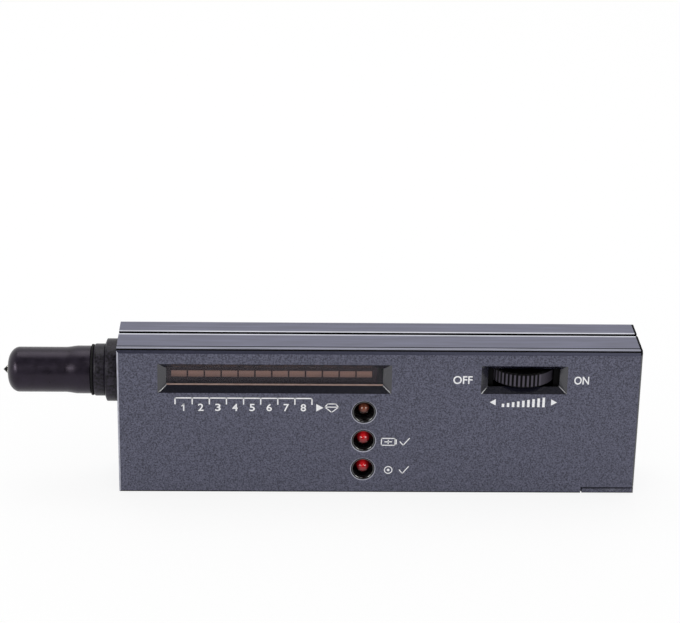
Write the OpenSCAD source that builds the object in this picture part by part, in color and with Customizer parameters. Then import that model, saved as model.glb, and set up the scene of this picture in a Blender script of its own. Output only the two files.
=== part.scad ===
// Pocket tester with a bar-graph display, three lamps, a thumbwheel and a heated probe
// Millimetres. X runs along the case with the probe at the minus end, the front looks to minus Y, Z is up.
// The origin is on the base face, in the middle of the case.

/* [Case] */
// Length of the case
case_w = 144; // [142:1:156]
// Height of the case
case_h = 43.4; // [42.8:0.2:50]
// Depth of the case, front face to back face
case_d = 20.4; // [20.2:0.2:23]
// Depth of the front shell, front face to seam
front_depth = 11.8; // [11.6:0.1:13]
// Thickness of the top, bottom and end walls
wall = 1.6; // [1.4:0.1:2]
// Thickness of the front face
face_wall = 2; // [1.9:0.1:2.4]
// Thickness of the back face
back_wall = 1.5; // [1.2:0.1:1.8]
// Thickness of the ribs inside the case
rib_t = 1.2; // [1:0.1:1.6]
// Chamfer along the top front edge
top_chamfer = 1.2; // [0.6:0.1:1.6]
// Chamfer along the other edges of the front face
front_chamfer = 0.5; // [0.3:0.1:1]
// Rounding of the back edges
back_round = 1.2; // [0.6:0.1:1.6]
// Width of the groove along the seam
seam_w = 1.5; // [0.6:0.1:1.6]
// Depth of the groove along the seam
seam_depth = 0.8; // [0.4:0.1:1]

/* [Display] */
// Distance from the top edge down to the centre line of the display and the thumbwheel
control_drop = 8.65; // [8.4:0.05:9.2]
// Middle of the display recess along the case
window_x = -28.8; // [-30:0.2:-27]
// Length of the display recess at the front face
window_w = 64.2; // [62:0.2:67]
// Height of the display recess at the front face
window_h = 8.65; // [8:0.05:9.4]
// Width of the bevels at the ends of the display recess
window_bevel = 2.35; // [1.8:0.05:2.5]
// Width of the bevels above and below the display
window_edge = 1.6; // [1.2:0.05:2]
// Depth of the bevels in the front face
bevel_depth = 1.8; // [1:0.1:1.8]
// Thickness of the tinted pane
pane_t = 1.2; // [0.8:0.1:1.5]
// Number of bar-graph segments
segment_count = 12; // [8:1:12]
// Spacing of the segments
segment_pitch = 4.64; // [4:0.02:4.8]
// Dark gap between two segments
segment_gap = 0.44; // [0.2:0.02:0.6]
// Height of a segment
segment_h = 1.8; // [1.4:0.1:2.6]
// Distance from the front face to the face of the bar graph
bar_depth = 3.9; // [3.8:0.1:4.6]
// Height of the bar-graph housing
bar_h = 8; // [7:0.2:8.6]
// Offset of the bar graph from the middle of the recess
bar_shift = -0.85; // [-1:0.05:0]

/* [Lamps] */
// Place of the lamp column along the case
lamp_x = -4.15; // [-6:0.05:-2]
// Height of the middle lamp
lamp_z = 16.1; // [15:0.1:18]
// Spacing of the lamps
lamp_pitch = 8.7; // [8.2:0.1:9]
// Diameter of a lamp
lamp_d = 3.4; // [2.8:0.1:3.6]
// Distance from the front face to the middle of a lamp's dome
lamp_depth = 2.1; // [1.8:0.1:2.4]
// Extra depth of the upper lamp
upper_lamp_set = 0.7; // [0:0.1:0.8]
// Diameter of the lamp holes in the front face
cup_d = 6.6; // [6:0.1:7]
// Length of a lamp cup behind the front face
cup_l = 5.6; // [5.2:0.1:5.8]

/* [Thumbwheel] */
// Place of the thumbwheel along the case
wheel_x = 39.75; // [38:0.25:44]
// Diameter of the thumbwheel
wheel_d = 18.4; // [17:0.2:18.6]
// Thickness of the thumbwheel
wheel_t = 4.2; // [3.6:0.1:4.6]
// How far the rim stands out of the front face
wheel_proud = 0.8; // [0:0.1:1]
// Gap above and below the rim in its opening
wheel_gap = 0.6; // [0.4:0.05:1]
// How much further than the rim the opening reaches at both ends
wheel_room = 0.7; // [0.4:0.1:1]
// Width of the bevels at the ends of the thumbwheel recess
wheel_bevel = 2; // [1.5:0.1:2.2]
// Width of the bevels above and below the thumbwheel
wheel_edge = 1.5; // [1:0.1:1.8]
// Number of ribs on the rim
rib_count = 40; // [24:1:48]
// Depth of the grooves between the ribs
rib_depth = 0.45; // [0.2:0.05:0.6]
// Angle from the front where the smooth stretch starts
smooth_from = 30; // [20:2:60]
// Angle that the smooth stretch spans
smooth_span = 60; // [30:2:80]
// Diameter of the volume control
pot_d = 10.6; // [9.6:0.2:10.8]
// Thickness of the volume control
pot_t = 4; // [3.2:0.1:4.2]
// Gap between the thumbwheel and the volume control
pot_gap = 0.4; // [0.3:0.05:0.6]
// Diameter of the shaft
shaft_d = 6; // [5:0.2:6.4]

/* [Probe] */
// Distance from the top edge down to the probe axis
probe_drop = 10.6; // [10.2:0.1:12]
// Diameter of the collar
collar_d = 17.4; // [16:0.2:18.4]
// Thickness of the collar
collar_t = 3.7; // [3:0.1:4.5]
// Diameter of the retaining ring
ring_d = 14.5; // [14:0.1:16]
// Thickness of the retaining ring
ring_t = 3.2; // [2.4:0.1:4]
// Diameter of the washer
washer_d = 14.2; // [13.6:0.1:15]
// Thickness of the washer
washer_t = 0.6; // [0.5:0.1:1]
// Diameter of the sleeve
sleeve_d = 12.5; // [12:0.1:12.9]
// Diameter of the sleeve's stretched root
root_d = 13.3; // [13:0.1:13.8]
// Length of the sleeve
sleeve_l = 23; // [22:0.2:28]
// Wall of the sleeve
sleeve_wall = 1.15; // [0.9:0.05:1.3]
// Length of the straight part of the root
root_l = 3.4; // [2:0.2:4]
// Length over which the sleeve widens
flare_l = 3.8; // [2:0.2:5]
// Length of the sleeve's rounded nose
nose_l = 3.2; // [2.4:0.1:4]
// Height of the rounding of the nose
nose_r = 4.4; // [3:0.1:4.8]
// Thickness of the sleeve's nose
nose_wall = 2.2; // [1.8:0.1:2.6]
// Diameter of the tip
tip_d = 2.2; // [1.8:0.1:2.4]
// Length of the tip that stands out of the sleeve
tip_out = 1.4; // [1.3:0.1:2]
// Length of the cone on the tip
tip_cone = 1.1; // [0.8:0.1:1.2]
// Diameter of the barrel's threaded end
thread_d = 9; // [8:0.2:9.6]
// Thickness of the locknut
locknut_t = 3; // [2:0.2:4]
// Width of the locknut across its corners
locknut_d = 15; // [13:0.5:15]
// Diameter of the spring chamber in the barrel
chamber_d = 5.2; // [5:0.1:5.6]
// Length of the spring chamber in the barrel
chamber_l = 12.5; // [12:0.5:14]
// Coils of the tip spring
spring_coils = 8; // [5:1:10]
// Wire thickness of the tip spring
spring_wire = 0.45; // [0.3:0.05:0.5]

/* [Battery] */
// Length of the battery with its terminals
battery_l = 48.5; // [47.5:0.5:49]
// Height of the battery
battery_h = 26.5; // [25.5:0.1:26.6]
// Thickness of the battery
battery_d = 17.5; // [16:0.1:17.5]
// Height of the battery terminals
terminal_h = 2.1; // [2:0.1:3]
// Spacing of the battery terminals
terminal_pitch = 12.7; // [12.4:0.1:13]
// Thickness of the snap
snap_t = 4.6; // [4:0.1:5.2]
// Free space between the snap and the bay wall
snap_room = 1.6; // [1.2:0.1:2.4]
// Thickness of the battery door
door_t = 1.5; // [1.4:0.1:1.8]
// Length of the door's grip
grip_l = 14.5; // [10:0.5:20]
// Height of the rails along the door
rail_h = 0.7; // [0.5:0.1:0.8]
// How far the rails stand out of the door
rail_w = 0.5; // [0.3:0.05:0.55]

/* [Circuit] */
// Thickness of the circuit board
board_t = 1.6; // [1:0.1:1.6]
// Distance from the front face to the front of the board
board_depth = 9.4; // [9.2:0.1:9.6]
// Diameter of the case bosses
boss_d = 5; // [4.6:0.1:5.4]
// Diameter of the board posts
post_d = 4.6; // [4:0.1:5]
// Length of a driver chip
chip_l = 22.9; // [20:0.1:23]
// Width of a driver chip
chip_w = 6.4; // [6:0.1:7]
// Thickness of a driver chip
chip_h = 3.3; // [2.5:0.1:3.6]
// Legs along one side of a driver chip
chip_legs = 9; // [7:1:9]
// Diameter of a capacitor
capacitor_d = 6.3; // [5:0.1:6.4]
// Height of a capacitor
capacitor_h = 6.2; // [5:0.1:6.4]
// Diameter of the buzzer
buzzer_d = 12; // [9:0.5:13]
// Height of the buzzer
buzzer_h = 6.2; // [5:0.1:6.4]
// Diameter of a resistor
resistor_d = 2.3; // [1.8:0.1:2.5]
// Length of a resistor
resistor_l = 6.3; // [5:0.1:6.5]
// Diameter of a transistor
transistor_d = 4.6; // [4:0.1:5]
// Height of a transistor
transistor_h = 4.4; // [3.5:0.1:4.6]

/* [Screws and leads] */
// Diameter of the case screws
screw_d = 2.6; // [2:0.1:2.6]
// Head diameter of the case screws
screw_head_d = 4.6; // [4:0.1:4.6]
// Head height of the case screws
screw_head_h = 1.6; // [1.2:0.1:2]
// Length of the case screws under the head
screw_l = 9.5; // [8:0.5:10]
// Depth of the screw holes in the back
screw_hole_depth = 5; // [4:0.2:5.4]
// Diameter of the board screws
board_screw_d = 1.9; // [1.6:0.1:2]
// Diameter of the battery leads
lead_d = 1.3; // [1:0.1:1.4]
// Diameter of the probe leads
probe_lead_d = 1; // [0.6:0.1:1]

/* [Clearances] */
// Gap between fixed pieces that are put together
fit = 0.1; // [0.05:0.01:0.15]
// Radial gap of turning and sliding pieces
run_fit = 0.05; // [0.03:0.01:0.08]
// Gap round the rails and at the end of the battery door
door_fit = 0.12; // [0.08:0.01:0.15]
// Gap above and beside the grip of the battery door
grip_gap = 0.4; // [0.15:0.05:0.5]
// Gap round the battery
battery_fit = 0.25; // [0.15:0.05:0.3]

/* [Hidden] */
$fn = 64;
// How far a cut runs past the face that it opens
cut = 1;
// How far a joined piece sinks into its neighbour
join = 0.4;

// Faces of the case
fy = -case_d / 2;
by = case_d / 2;
lx = -case_w / 2;
rx = case_w / 2;
seam_y = fy + front_depth;
control_z = case_h - control_drop;

// Battery bay, from the right end wall inwards
bay_x1 = rx - wall;
battery_x1 = bay_x1 - battery_fit;
battery_x0 = battery_x1 - battery_l;
body_x0 = battery_x0 + terminal_h;
snap_x1 = body_x0 - fit;
snap_x0 = snap_x1 - snap_t;
bay_x0 = snap_x0 - snap_room;
bay_y = battery_d / 2 + battery_fit;
door_z0 = fit;
door_z1 = door_z0 + door_t;
battery_z0 = door_z1 + battery_fit;
battery_z = battery_z0 + battery_h / 2;
bay_top = battery_z0 + battery_h + battery_fit;
battery_round = 1.6;
grip_x0 = rx - grip_l;
rail_z0 = door_z0 + (door_t - rail_h) / 2;

// Thumbwheel and volume control
wheel_y = fy - wheel_proud + wheel_d / 2;
wheel_z0 = control_z - wheel_t / 2;
wheel_z1 = control_z + wheel_t / 2;
opening_w = wheel_d + 2 * wheel_room;
opening_h = wheel_t + 2 * wheel_gap;
cheek_t = 2;
cheek_lap = 1.2;
rim_room = 0.25;
cheek_y1 = fy + face_wall + cheek_t;
slot_w = 2 * sqrt(pow(wheel_d / 2 + rim_room, 2) - pow(wheel_y - cheek_y1, 2));
rim_chamfer = 0.5;
pot_z0 = wheel_z1 + pot_gap;
pot_z1 = pot_z0 + pot_t;
wheel_screw_d = 1.8;
wheel_screw_head_d = 8;
wheel_screw_head_h = 1;
wheel_screw_l = 5;

// Circuit board outline
board_y0 = fy + board_depth;
board_y1 = board_y0 + board_t;
board_edge = 0.5;
board_room = 1.5;
board_x0 = lx + wall + board_room;
board_x1 = bay_x0 - rib_t - board_edge;
board_z0 = wall + board_edge;
board_z1 = case_h - wall - board_edge;
tongue_x1 = wheel_x - pot_d / 2 - fit - rib_t - board_edge;
tongue_z0 = pot_z0 + fit;

// Bar graph
bar_x = window_x + bar_shift;
bar_margin = 1.2;
bar_l = segment_count * segment_pitch + 2 * bar_margin;
segment_w = segment_pitch - segment_gap;
segment_t = 1;
pin_w = 0.5;
pin_row = 2.54;
pin_hole_d = 0.9;
pin_out = 1.2;
pane_edge = 1.2;

// Lamps
lamp_rows = [lamp_z + lamp_pitch, lamp_z, lamp_z - lamp_pitch];
lamp_body_l = 4.6;
lamp_lip = 0.45;
lamp_flange_d = lamp_d + 2 * lamp_lip;
lamp_flange_t = 1;
lamp_leg_in = 1.27;
cup_lip = 0.6;
cup_flange_d = cup_d + 2 * cup_lip;
cup_flange_t = 0.8;
cup_tube_wall = 0.8;
cup_tube_d = lamp_d + 2 * fit + 2 * cup_tube_wall;
cup_set = 0.15;
cup_edge = 0.2;
cup_rim = 0.15;
cup_bore_r = lamp_d / 2 + fit;
cup_mouth_r = cup_d / 2 - cup_edge;
lip_round = 0.5;
lip_turn = 60;
lip_step = 10;
funnel_depth = 2.2;

// Probe, from the case outwards
probe_z = case_h - probe_drop;
collar_x0 = lx - collar_t;
ring_x0 = collar_x0 - ring_t;
washer_x0 = ring_x0 - washer_t;
sleeve_x1 = washer_x0 - fit;
sleeve_x0 = sleeve_x1 - sleeve_l;
tip_x0 = sleeve_x0 - tip_out;
nose_gap = 0.4;
barrel_x0 = sleeve_x0 + nose_wall + nose_gap;
barrel_nose = 2;
barrel_chamfer = 0.8;
thread_out = 1.5;
barrel_x1 = lx + wall + locknut_t + thread_out;
chamber_x0 = barrel_x0 + barrel_nose;
chamber_x1 = chamber_x0 + chamber_l;
chamber_step = 0.8;
wire_bore_d = chamber_d - 2 * chamber_step;
edge = 0.5;
collar_slope = 1.3;
tip_play = 0.3;
tip_collar_d = chamber_d - 2 * tip_play;
tip_collar_t = 1.2;
tip_collar_x0 = chamber_x0 + run_fit;
tip_collar_x1 = tip_collar_x0 + tip_collar_t;
stem_d = 1.6;
stem_l = 6;
stem_x1 = tip_collar_x1 + stem_l;
bead_d = 2.2;
bead_l = 3;
coil_r = (wire_bore_d + chamber_d) / 4 - fit;

// Screw places as x and z
boss_end = 6;
boss_side = 4.2;
boss_low = 6.8;
boss_under = 2;
boss_drop = 6.4;
boss_places = [
    [lx + boss_end, boss_low],
    [board_x1 - boss_side, boss_low],
    [board_x1 - boss_side, control_z - boss_under],
    [rx - boss_end, case_h - boss_drop]
];
post_end = 11;
post_side = 4.8;
post_shift = 4.8;
post_low = 8;
post_high = 20;
post_places = [
    [lx + post_end, post_high],
    [window_x + post_shift, post_low],
    [board_x1 - post_side, post_high]
];
post_screw_l = 6;
post_screw_head_d = 3.8;
post_screw_head_h = 1.3;
cup_wall = 1.2;
screw_slot_l = 2.6;
screw_slot_w = 0.7;

// Places on the board as x and z, seen from the window and the lamps
chip_shift = 5.2;
chip_drop = 9;
chip_step = 10.5;
chip_places = [for (k = [0, 1]) [window_x - chip_shift, control_z - chip_drop - chip_step * k]];
capacitor_shift = 3.2;
capacitor_side = 9.4;
capacitor_low = 9;
capacitor_drop = 8.25;
capacitor_places = [
    [window_x - capacitor_shift, capacitor_low],
    [lamp_x - capacitor_side, control_z - capacitor_drop],
    [lamp_x + capacitor_side, control_z - capacitor_drop]
];
transistor_side = 8;
transistor_step = 5.5;
transistor_z = 17;
transistor_places = [for (k = [0 : 2]) [lamp_x - transistor_side - transistor_step * k, transistor_z]];
resistor_side = 5;
resistor_step = 3.2;
resistor_z = 15;
resistor_places = [for (k = [0 : 3]) [lamp_x - resistor_side - resistor_step * k, resistor_z]];
buzzer_shift = 15.2;
buzzer_z = 14;
buzzer_place = [window_x - buzzer_shift, buzzer_z];

// Small parts on the board
chip_stand = 0.5;
chip_pitch = 2.54;
chip_notch_d = 2;
chip_notch_depth = 0.4;
leg_t = 0.3;
leg_w = 0.5;
resistor_wire_d = 0.6;
resistor_span = 9.2;
resistor_stand = 0.1;
capacitor_groove_d = 0.8;
capacitor_groove = 1;
transistor_stand = 1.5;
transistor_pitch = 1.27;
transistor_flat = 1.4;
buzzer_hole_d = 2;
buzzer_hole_depth = 2;
control_leg_step = 1.2;
control_leg_in = 2;

// Battery terminals, snap and leads
stud_d = 5.8;
socket_d = 8.4;
socket_bore_d = 6;
socket_floor = 0.5;
snap_h = 24;
snap_d = 13;
lead_y = 4.4;
lead_gap = 6;
lead_pad_in = 3;
lead_pad_x = board_x1 - lead_pad_in;
lead_sides = 8;
probe_lead_gap = 1.4;
probe_lead_in = 6;
probe_lead_out = 0.5;
probe_lead_reach = 3.5;
probe_pad_out = 8;
probe_pad_x = barrel_x1 + probe_pad_out;
probe_pad_drop = 3;
probe_pad_gap = 2.4;
probe_lead_bow = 6;
notch_in = 5;
notch_room = 0.6;
notch_x1 = barrel_x1 + notch_in;
notch_z0 = probe_z - locknut_d / 2 - notch_room;

// Grooves in the grip of the battery door
grip_grooves = 4;
grip_pitch = 2;

// Round bar along Y
module rod_y(x, z, y0, y1, d)
{
    translate([x, y0, z])
        rotate([-90, 0, 0])
            cylinder(d = d, h = y1 - y0);
}

// Round bar along X
module rod_x(x0, x1, y, z, d)
{
    translate([x0, y, z])
        rotate([0, 90, 0])
            cylinder(d = d, h = x1 - x0);
}

// Block between two corners
module block(a, b)
{
    translate(a)
        cube(b - a);
}

// Turned piece round the probe axis, from points of radius and x
module turned_x(points)
{
    translate([0, 0, probe_z])
        rotate([0, 90, 0])
            rotate_extrude()
                polygon(points);
}

// Turned piece round an axis along Y, from points of radius and depth behind the front face
module turned_y(x, z, points)
{
    translate([x, fy, z])
        rotate([-90, 0, 0])
            rotate_extrude()
                polygon(points);
}

// Ring whose outer edge slopes at the probe's side
module chamfered_ring(x0, x1, d, bore, slope)
{
    turned_x([
        [bore / 2, x0], [d / 2 - slope, x0], [d / 2, x0 + edge],
        [d / 2, x1], [bore / 2, x1]
    ]);
}

// Waste outside a quarter round at the origin
module round_waste(r)
{
    difference() {
        square(r + cut);
        circle(r);
    }
}

// Outside of the whole case
module case_block()
{
    intersection() {
        rotate([90, 0, 90])
            linear_extrude(case_w + 2 * cut, center = true)
                difference() {
                    polygon([
                        [fy + front_chamfer, 0], [by, 0], [by, case_h], [fy + top_chamfer, case_h],
                        [fy, case_h - top_chamfer], [fy, front_chamfer]
                    ]);
                    translate([by - back_round, case_h - back_round])
                        round_waste(back_round);
                    translate([by - back_round, back_round])
                        mirror([0, 1])
                            round_waste(back_round);
                }
        translate([0, 0, -cut])
            linear_extrude(case_h + 2 * cut)
                difference() {
                    polygon([
                        [lx, by], [lx, fy + front_chamfer], [lx + front_chamfer, fy],
                        [rx - front_chamfer, fy], [rx, fy + front_chamfer], [rx, by]
                    ]);
                    translate([rx - back_round, by - back_round])
                        round_waste(back_round);
                    translate([lx + back_round, by - back_round])
                        mirror([1, 0])
                            round_waste(back_round);
                }
    }
}

// Waste outside the case at the seam, which leaves the groove
module seam_groove()
{
    difference() {
        block([lx - cut, seam_y - seam_w / 2, -cut], [rx + cut, seam_y + seam_w / 2, case_h + cut]);
        block(
            [lx + seam_depth, fy, seam_depth],
            [rx - seam_depth, by, case_h - seam_depth]
        );
    }
}

// Hollow of the case: electronics, space above the battery, battery bay
module case_hollow(y0, y1, bay_y0, bay_y1)
{
    block([lx + wall, y0, wall], [bay_x0 - rib_t, y1, case_h - wall]);
    block([bay_x0 - rib_t - cut, y0, bay_top + rib_t], [rx - wall, y1, case_h - wall]);
    block([bay_x0, bay_y0, -cut], [bay_x1, bay_y1, bay_top]);
}

// Room for the battery door in the bottom of the case
module door_room()
{
    block(
        [grip_x0 - grip_gap, fy - cut, -cut],
        [rx + cut, by + cut, door_z1 + grip_gap]
    );
    block(
        [bay_x0, -bay_y - rail_w, rail_z0 - door_fit],
        [rx + cut, bay_y + rail_w, rail_z0 + rail_h + door_fit]
    );
}

// Hole for the barrel in the left end
module barrel_hole()
{
    rod_x(lx - cut, lx + wall + cut, 0, probe_z, thread_d + 2 * fit);
}

// Recess with sloping sides, cut from the front face at x and z: bevels at the ends, lips above and below
module bevelled_recess(x, z, w, h, bevel, lip)
{
    end_slope = bevel / bevel_depth;
    lip_slope = lip / bevel_depth;
    intersection() {
        translate([x, fy, z - h])
            linear_extrude(2 * h)
                polygon([
                    [-w / 2 - end_slope * cut, -cut], [w / 2 + end_slope * cut, -cut],
                    [w / 2 - bevel, bevel_depth], [bevel - w / 2, bevel_depth]
                ]);
        translate([x, fy, z])
            rotate([90, 0, 90])
                linear_extrude(2 * w, center = true)
                    polygon([
                        [-cut, -h / 2 - lip_slope * cut], [-cut, h / 2 + lip_slope * cut],
                        [bevel_depth, h / 2 - lip], [bevel_depth, lip - h / 2]
                    ]);
    }
    block(
        [x - w / 2 + bevel, fy, z - h / 2 + lip],
        [x + w / 2 - bevel, fy + face_wall + cut, z + h / 2 - lip]
    );
}

// Point on the thumbwheel's rim, its angle counted from the front towards plus X
function rim_point(a, r) = [r * sin(a), -r * cos(a)];

// Outline of the thumbwheel
smooth_to = smooth_from + smooth_span;
rib_step = (360 - smooth_span) / rib_count;
rib_profile = [[0.06, rib_depth], [0.36, rib_depth], [0.48, 0], [0.94, 0]];
rim_outline = concat(
    [for (a = [smooth_from : 4 : smooth_to]) rim_point(a, wheel_d / 2)],
    [
        for (k = [0 : rib_count - 1])
            for (p = rib_profile)
                rim_point(smooth_to + rib_step * (k + p[0]), wheel_d / 2 - p[1])
    ]
);

// Places on a curve through four guide points, and its direction there
function curve(p, t) = pow(1 - t, 3) * p[0] + 3 * t * pow(1 - t, 2) * p[1]
    + 3 * t * t * (1 - t) * p[2] + pow(t, 3) * p[3];
function curve_dir(p, t) = pow(1 - t, 2) * (p[1] - p[0]) + 2 * t * (1 - t) * (p[2] - p[1])
    + t * t * (p[3] - p[2]);

// Ring of points round a place on a route
function unit(v) = v / norm(v);
function ring_points(c, t, up, r, n) = let (u = unit(cross(t, up)), v = cross(unit(t), u))
    [for (k = [0 : n - 1]) c + r * cos(360 * k / n) * u + r * sin(360 * k / n) * v];

// Tube along places with their directions
module tube(places, dirs, up, r, n)
{
    last = len(places) - 1;
    points = [for (i = [0 : last]) each ring_points(places[i], dirs[i], up, r, n)];
    side_a = [for (i = [0 : last - 1]) for (k = [0 : n - 1])
        [i * n + k, (i + 1) * n + (k + 1) % n, i * n + (k + 1) % n]];
    side_b = [for (i = [0 : last - 1]) for (k = [0 : n - 1])
        [i * n + k, (i + 1) * n + k, (i + 1) * n + (k + 1) % n]];
    start = [for (k = [1 : n - 2]) [0, k, k + 1]];
    end = [for (k = [1 : n - 2]) [last * n, last * n + k + 1, last * n + k]];
    polyhedron(points, concat(side_a, side_b, start, end));
}

// Lead from the snap to the back of the board at height z
module battery_lead(z)
{
    guide = [
        [snap_x0, lead_y, z], [lead_pad_x, lead_y, z],
        [lead_pad_x, lead_y, z], [lead_pad_x, board_y1, z]
    ];
    steps = 12;
    tube(
        [for (i = [0 : steps]) curve(guide, i / steps)],
        [for (i = [0 : steps]) i == 0 ? [-1, 0, 0] : i == steps ? [0, -1, 0] : curve_dir(guide, i / steps)],
        [0, 0, 1], lead_d / 2, lead_sides
    );
}

// Lead from inside the barrel to the back of the board
module probe_lead(z, pad_z)
{
    guide = [
        [barrel_x1 + probe_lead_out, 0, z], [barrel_x1 + probe_lead_reach, 0, z],
        [probe_pad_x, board_y1 + probe_lead_bow, pad_z], [probe_pad_x, board_y1, pad_z]
    ];
    steps = 16;
    tube(
        concat(
            [[barrel_x1 - probe_lead_in, 0, z]],
            [for (i = [0 : steps]) curve(guide, i / steps)]
        ),
        concat(
            [[1, 0, 0]],
            [for (i = [0 : steps]) i == steps ? [0, -1, 0] : curve_dir(guide, i / steps)]
        ),
        [0, 0, 1], probe_lead_d / 2, lead_sides
    );
}

// Round lamp with its dome towards the front
module lamp(z, set)
{
    r = lamp_d / 2;
    base = lamp_depth + set + lamp_body_l;
    turned_y(lamp_x, z, concat(
        [for (a = [0 : 9 : 90]) [r * sin(a), lamp_depth + set - r * cos(a)]],
        [
            [r, base - lamp_flange_t], [lamp_flange_d / 2, base - lamp_flange_t],
            [lamp_flange_d / 2, base], [0, base]
        ]
    ));
}

// Share of a smooth step from 0 to 1
function ease(t) = t * t * (3 - 2 * t);

// Radius and x along the sleeve or the barrel where it widens towards the case
function flare(r0, r1) = [
    for (i = [0 : 8])
        [r0 + (r1 - r0) * ease(i / 8), sleeve_x1 - root_l - flare_l + flare_l * i / 8]
];

module front_shell()
{
    color("#56585f")
    difference() {
        union() {
            difference() {
                intersection() {
                    case_block();
                    block([lx - cut, fy - cut, -cut], [rx + cut, seam_y, case_h + cut]);
                }
                case_hollow(fy + face_wall, seam_y + cut, -bay_y, seam_y + cut);
            }
            for (p = boss_places)
                rod_y(p[0], p[1], fy + face_wall - join, seam_y, boss_d);
            for (p = post_places)
                rod_y(p[0], p[1], fy + face_wall - join, board_y0, post_d);
            for (side = [-1, 1])
                translate([wheel_x + side * (pot_d / 2 + fit + rib_t / 2), 0, 0])
                    block(
                        [-rib_t / 2, fy + face_wall - join, pot_z0],
                        [rib_t / 2, wheel_y, case_h - wall + join]
                    );
            for (side = [0, 1])
                translate([wheel_x, 0, control_z])
                    mirror([side, 0, 0])
                        block(
                            [slot_w / 2, fy + face_wall - join, -opening_h / 2 - cheek_lap],
                            [opening_w / 2 + cheek_lap, cheek_y1, opening_h / 2 + cheek_lap]
                        );
        }
        seam_groove();
        door_room();
        barrel_hole();
        bevelled_recess(window_x, control_z, window_w, window_h, window_bevel, window_edge);
        bevelled_recess(
            wheel_x, control_z, opening_w + 2 * wheel_bevel, opening_h + 2 * wheel_edge,
            wheel_bevel, wheel_edge
        );
        for (z = lamp_rows)
            turned_y(lamp_x, z, [
                [0, -cut], [cup_d / 2 + cup_edge + cut, -cut], [cup_d / 2, cup_edge],
                [cup_d / 2, face_wall + cut], [0, face_wall + cut]
            ]);
        for (p = boss_places)
            rod_y(p[0], p[1], fy + face_wall + cut, seam_y + cut, screw_d + fit);
        for (p = post_places)
            rod_y(p[0], p[1], fy + face_wall, board_y0 + cut, board_screw_d + fit);
    }
}

module rear_shell()
{
    color("#4f5158")
    difference() {
        union() {
            difference() {
                intersection() {
                    case_block();
                    block([lx - cut, seam_y, -cut], [rx + cut, by + cut, case_h + cut]);
                }
                case_hollow(seam_y - cut, by - back_wall, seam_y - cut, bay_y);
            }
            for (p = boss_places)
                rod_y(p[0], p[1], seam_y, by - back_wall + join, screw_head_d + 2 * fit + 2 * cup_wall);
        }
        seam_groove();
        door_room();
        barrel_hole();
        block(
            [bay_x0 - rib_t - cut, seam_y - cut, battery_z - lead_gap],
            [bay_x0 + cut, lead_y + lead_d, battery_z + lead_gap]
        );
        for (p = boss_places)
            rod_y(p[0], p[1], seam_y - cut, by + cut, screw_d + 2 * fit);
        for (p = boss_places)
            rod_y(p[0], p[1], by - screw_hole_depth, by + cut, screw_head_d + 2 * fit);
    }
}

module battery_door()
{
    color("#4a4c53")
    intersection() {
        case_block();
        difference() {
            union() {
                block([grip_x0, fy - cut, door_z0], [rx + cut, by + cut, door_z1]);
                block(
                    [bay_x0 + door_fit, -bay_y + door_fit, door_z0],
                    [grip_x0 + join, bay_y - door_fit, door_z1]
                );
                block(
                    [bay_x0 + door_fit, -bay_y - rail_w + door_fit, rail_z0],
                    [grip_x0 + join, bay_y + rail_w - door_fit, rail_z0 + rail_h]
                );
            }
            for (k = [0 : grip_grooves - 1])
                translate([rx - grip_l / 2 + (k - (grip_grooves - 1) / 2) * grip_pitch, 0, door_z0])
                    rotate([0, 45, 0])
                        cube([rail_h, case_d / 2, rail_h], center = true);
        }
    }
}

module case_screws()
{
    color("#8f9196")
    for (p = boss_places)
        difference() {
            union() {
                rod_y(
                    p[0], p[1], by - screw_hole_depth, by - screw_hole_depth + screw_head_h, screw_head_d
                );
                rod_y(p[0], p[1], by - screw_hole_depth - screw_l, by - screw_hole_depth + join, screw_d);
            }
            for (turn = [0, 90])
                translate([p[0], by - screw_hole_depth + screw_head_h, p[1]])
                    rotate([0, turn, 0])
                        cube([screw_slot_l, screw_head_h, screw_slot_w], center = true);
        }
}

module display_pane()
{
    w = window_w / 2 - window_bevel + pane_edge;
    h = window_h / 2 - window_edge + pane_edge;
    color("#2a2224")
    block(
        [window_x - w, fy + face_wall, control_z - h],
        [window_x + w, fy + face_wall + pane_t, control_z + h]
    );
}

// Segments of the bar graph, made larger by a gap
module segments(gap)
{
    for (k = [0 : segment_count - 1])
        translate([bar_x + (k - (segment_count - 1) / 2) * segment_pitch, fy + bar_depth, control_z])
            translate([-segment_w / 2 - gap, 0, -segment_h / 2 - gap])
                cube([segment_w + 2 * gap, segment_t + gap, segment_h + 2 * gap]);
}

module bargraph_housing()
{
    color("#1c1a1c")
    difference() {
        block(
            [bar_x - bar_l / 2, fy + bar_depth, control_z - bar_h / 2],
            [bar_x + bar_l / 2, board_y0, control_z + bar_h / 2]
        );
        translate([0, -fit, 0])
            segments(fit / 4);
        segments(fit / 4);
    }
}

module bargraph_segments()
{
    color("#8a7672")
    segments(0);
}

// Pins of the bar graph, or the holes for them
module pin_field(round)
{
    for (k = [0 : segment_count - 1])
        for (row = [-1, 1])
            translate([
                bar_x + (k - (segment_count - 1) / 2) * segment_pitch, 0, control_z + row * pin_row / 2
            ])
                if (round)
                    rod_y(0, 0, board_y0 - cut, board_y1 + cut, pin_hole_d);
                else
                    block([-pin_w / 2, board_y0, -pin_w / 2], [pin_w / 2, board_y1 + pin_out, pin_w / 2]);
}

module bargraph_pins()
{
    color("#b9b6ad")
    pin_field(false);
}

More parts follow.
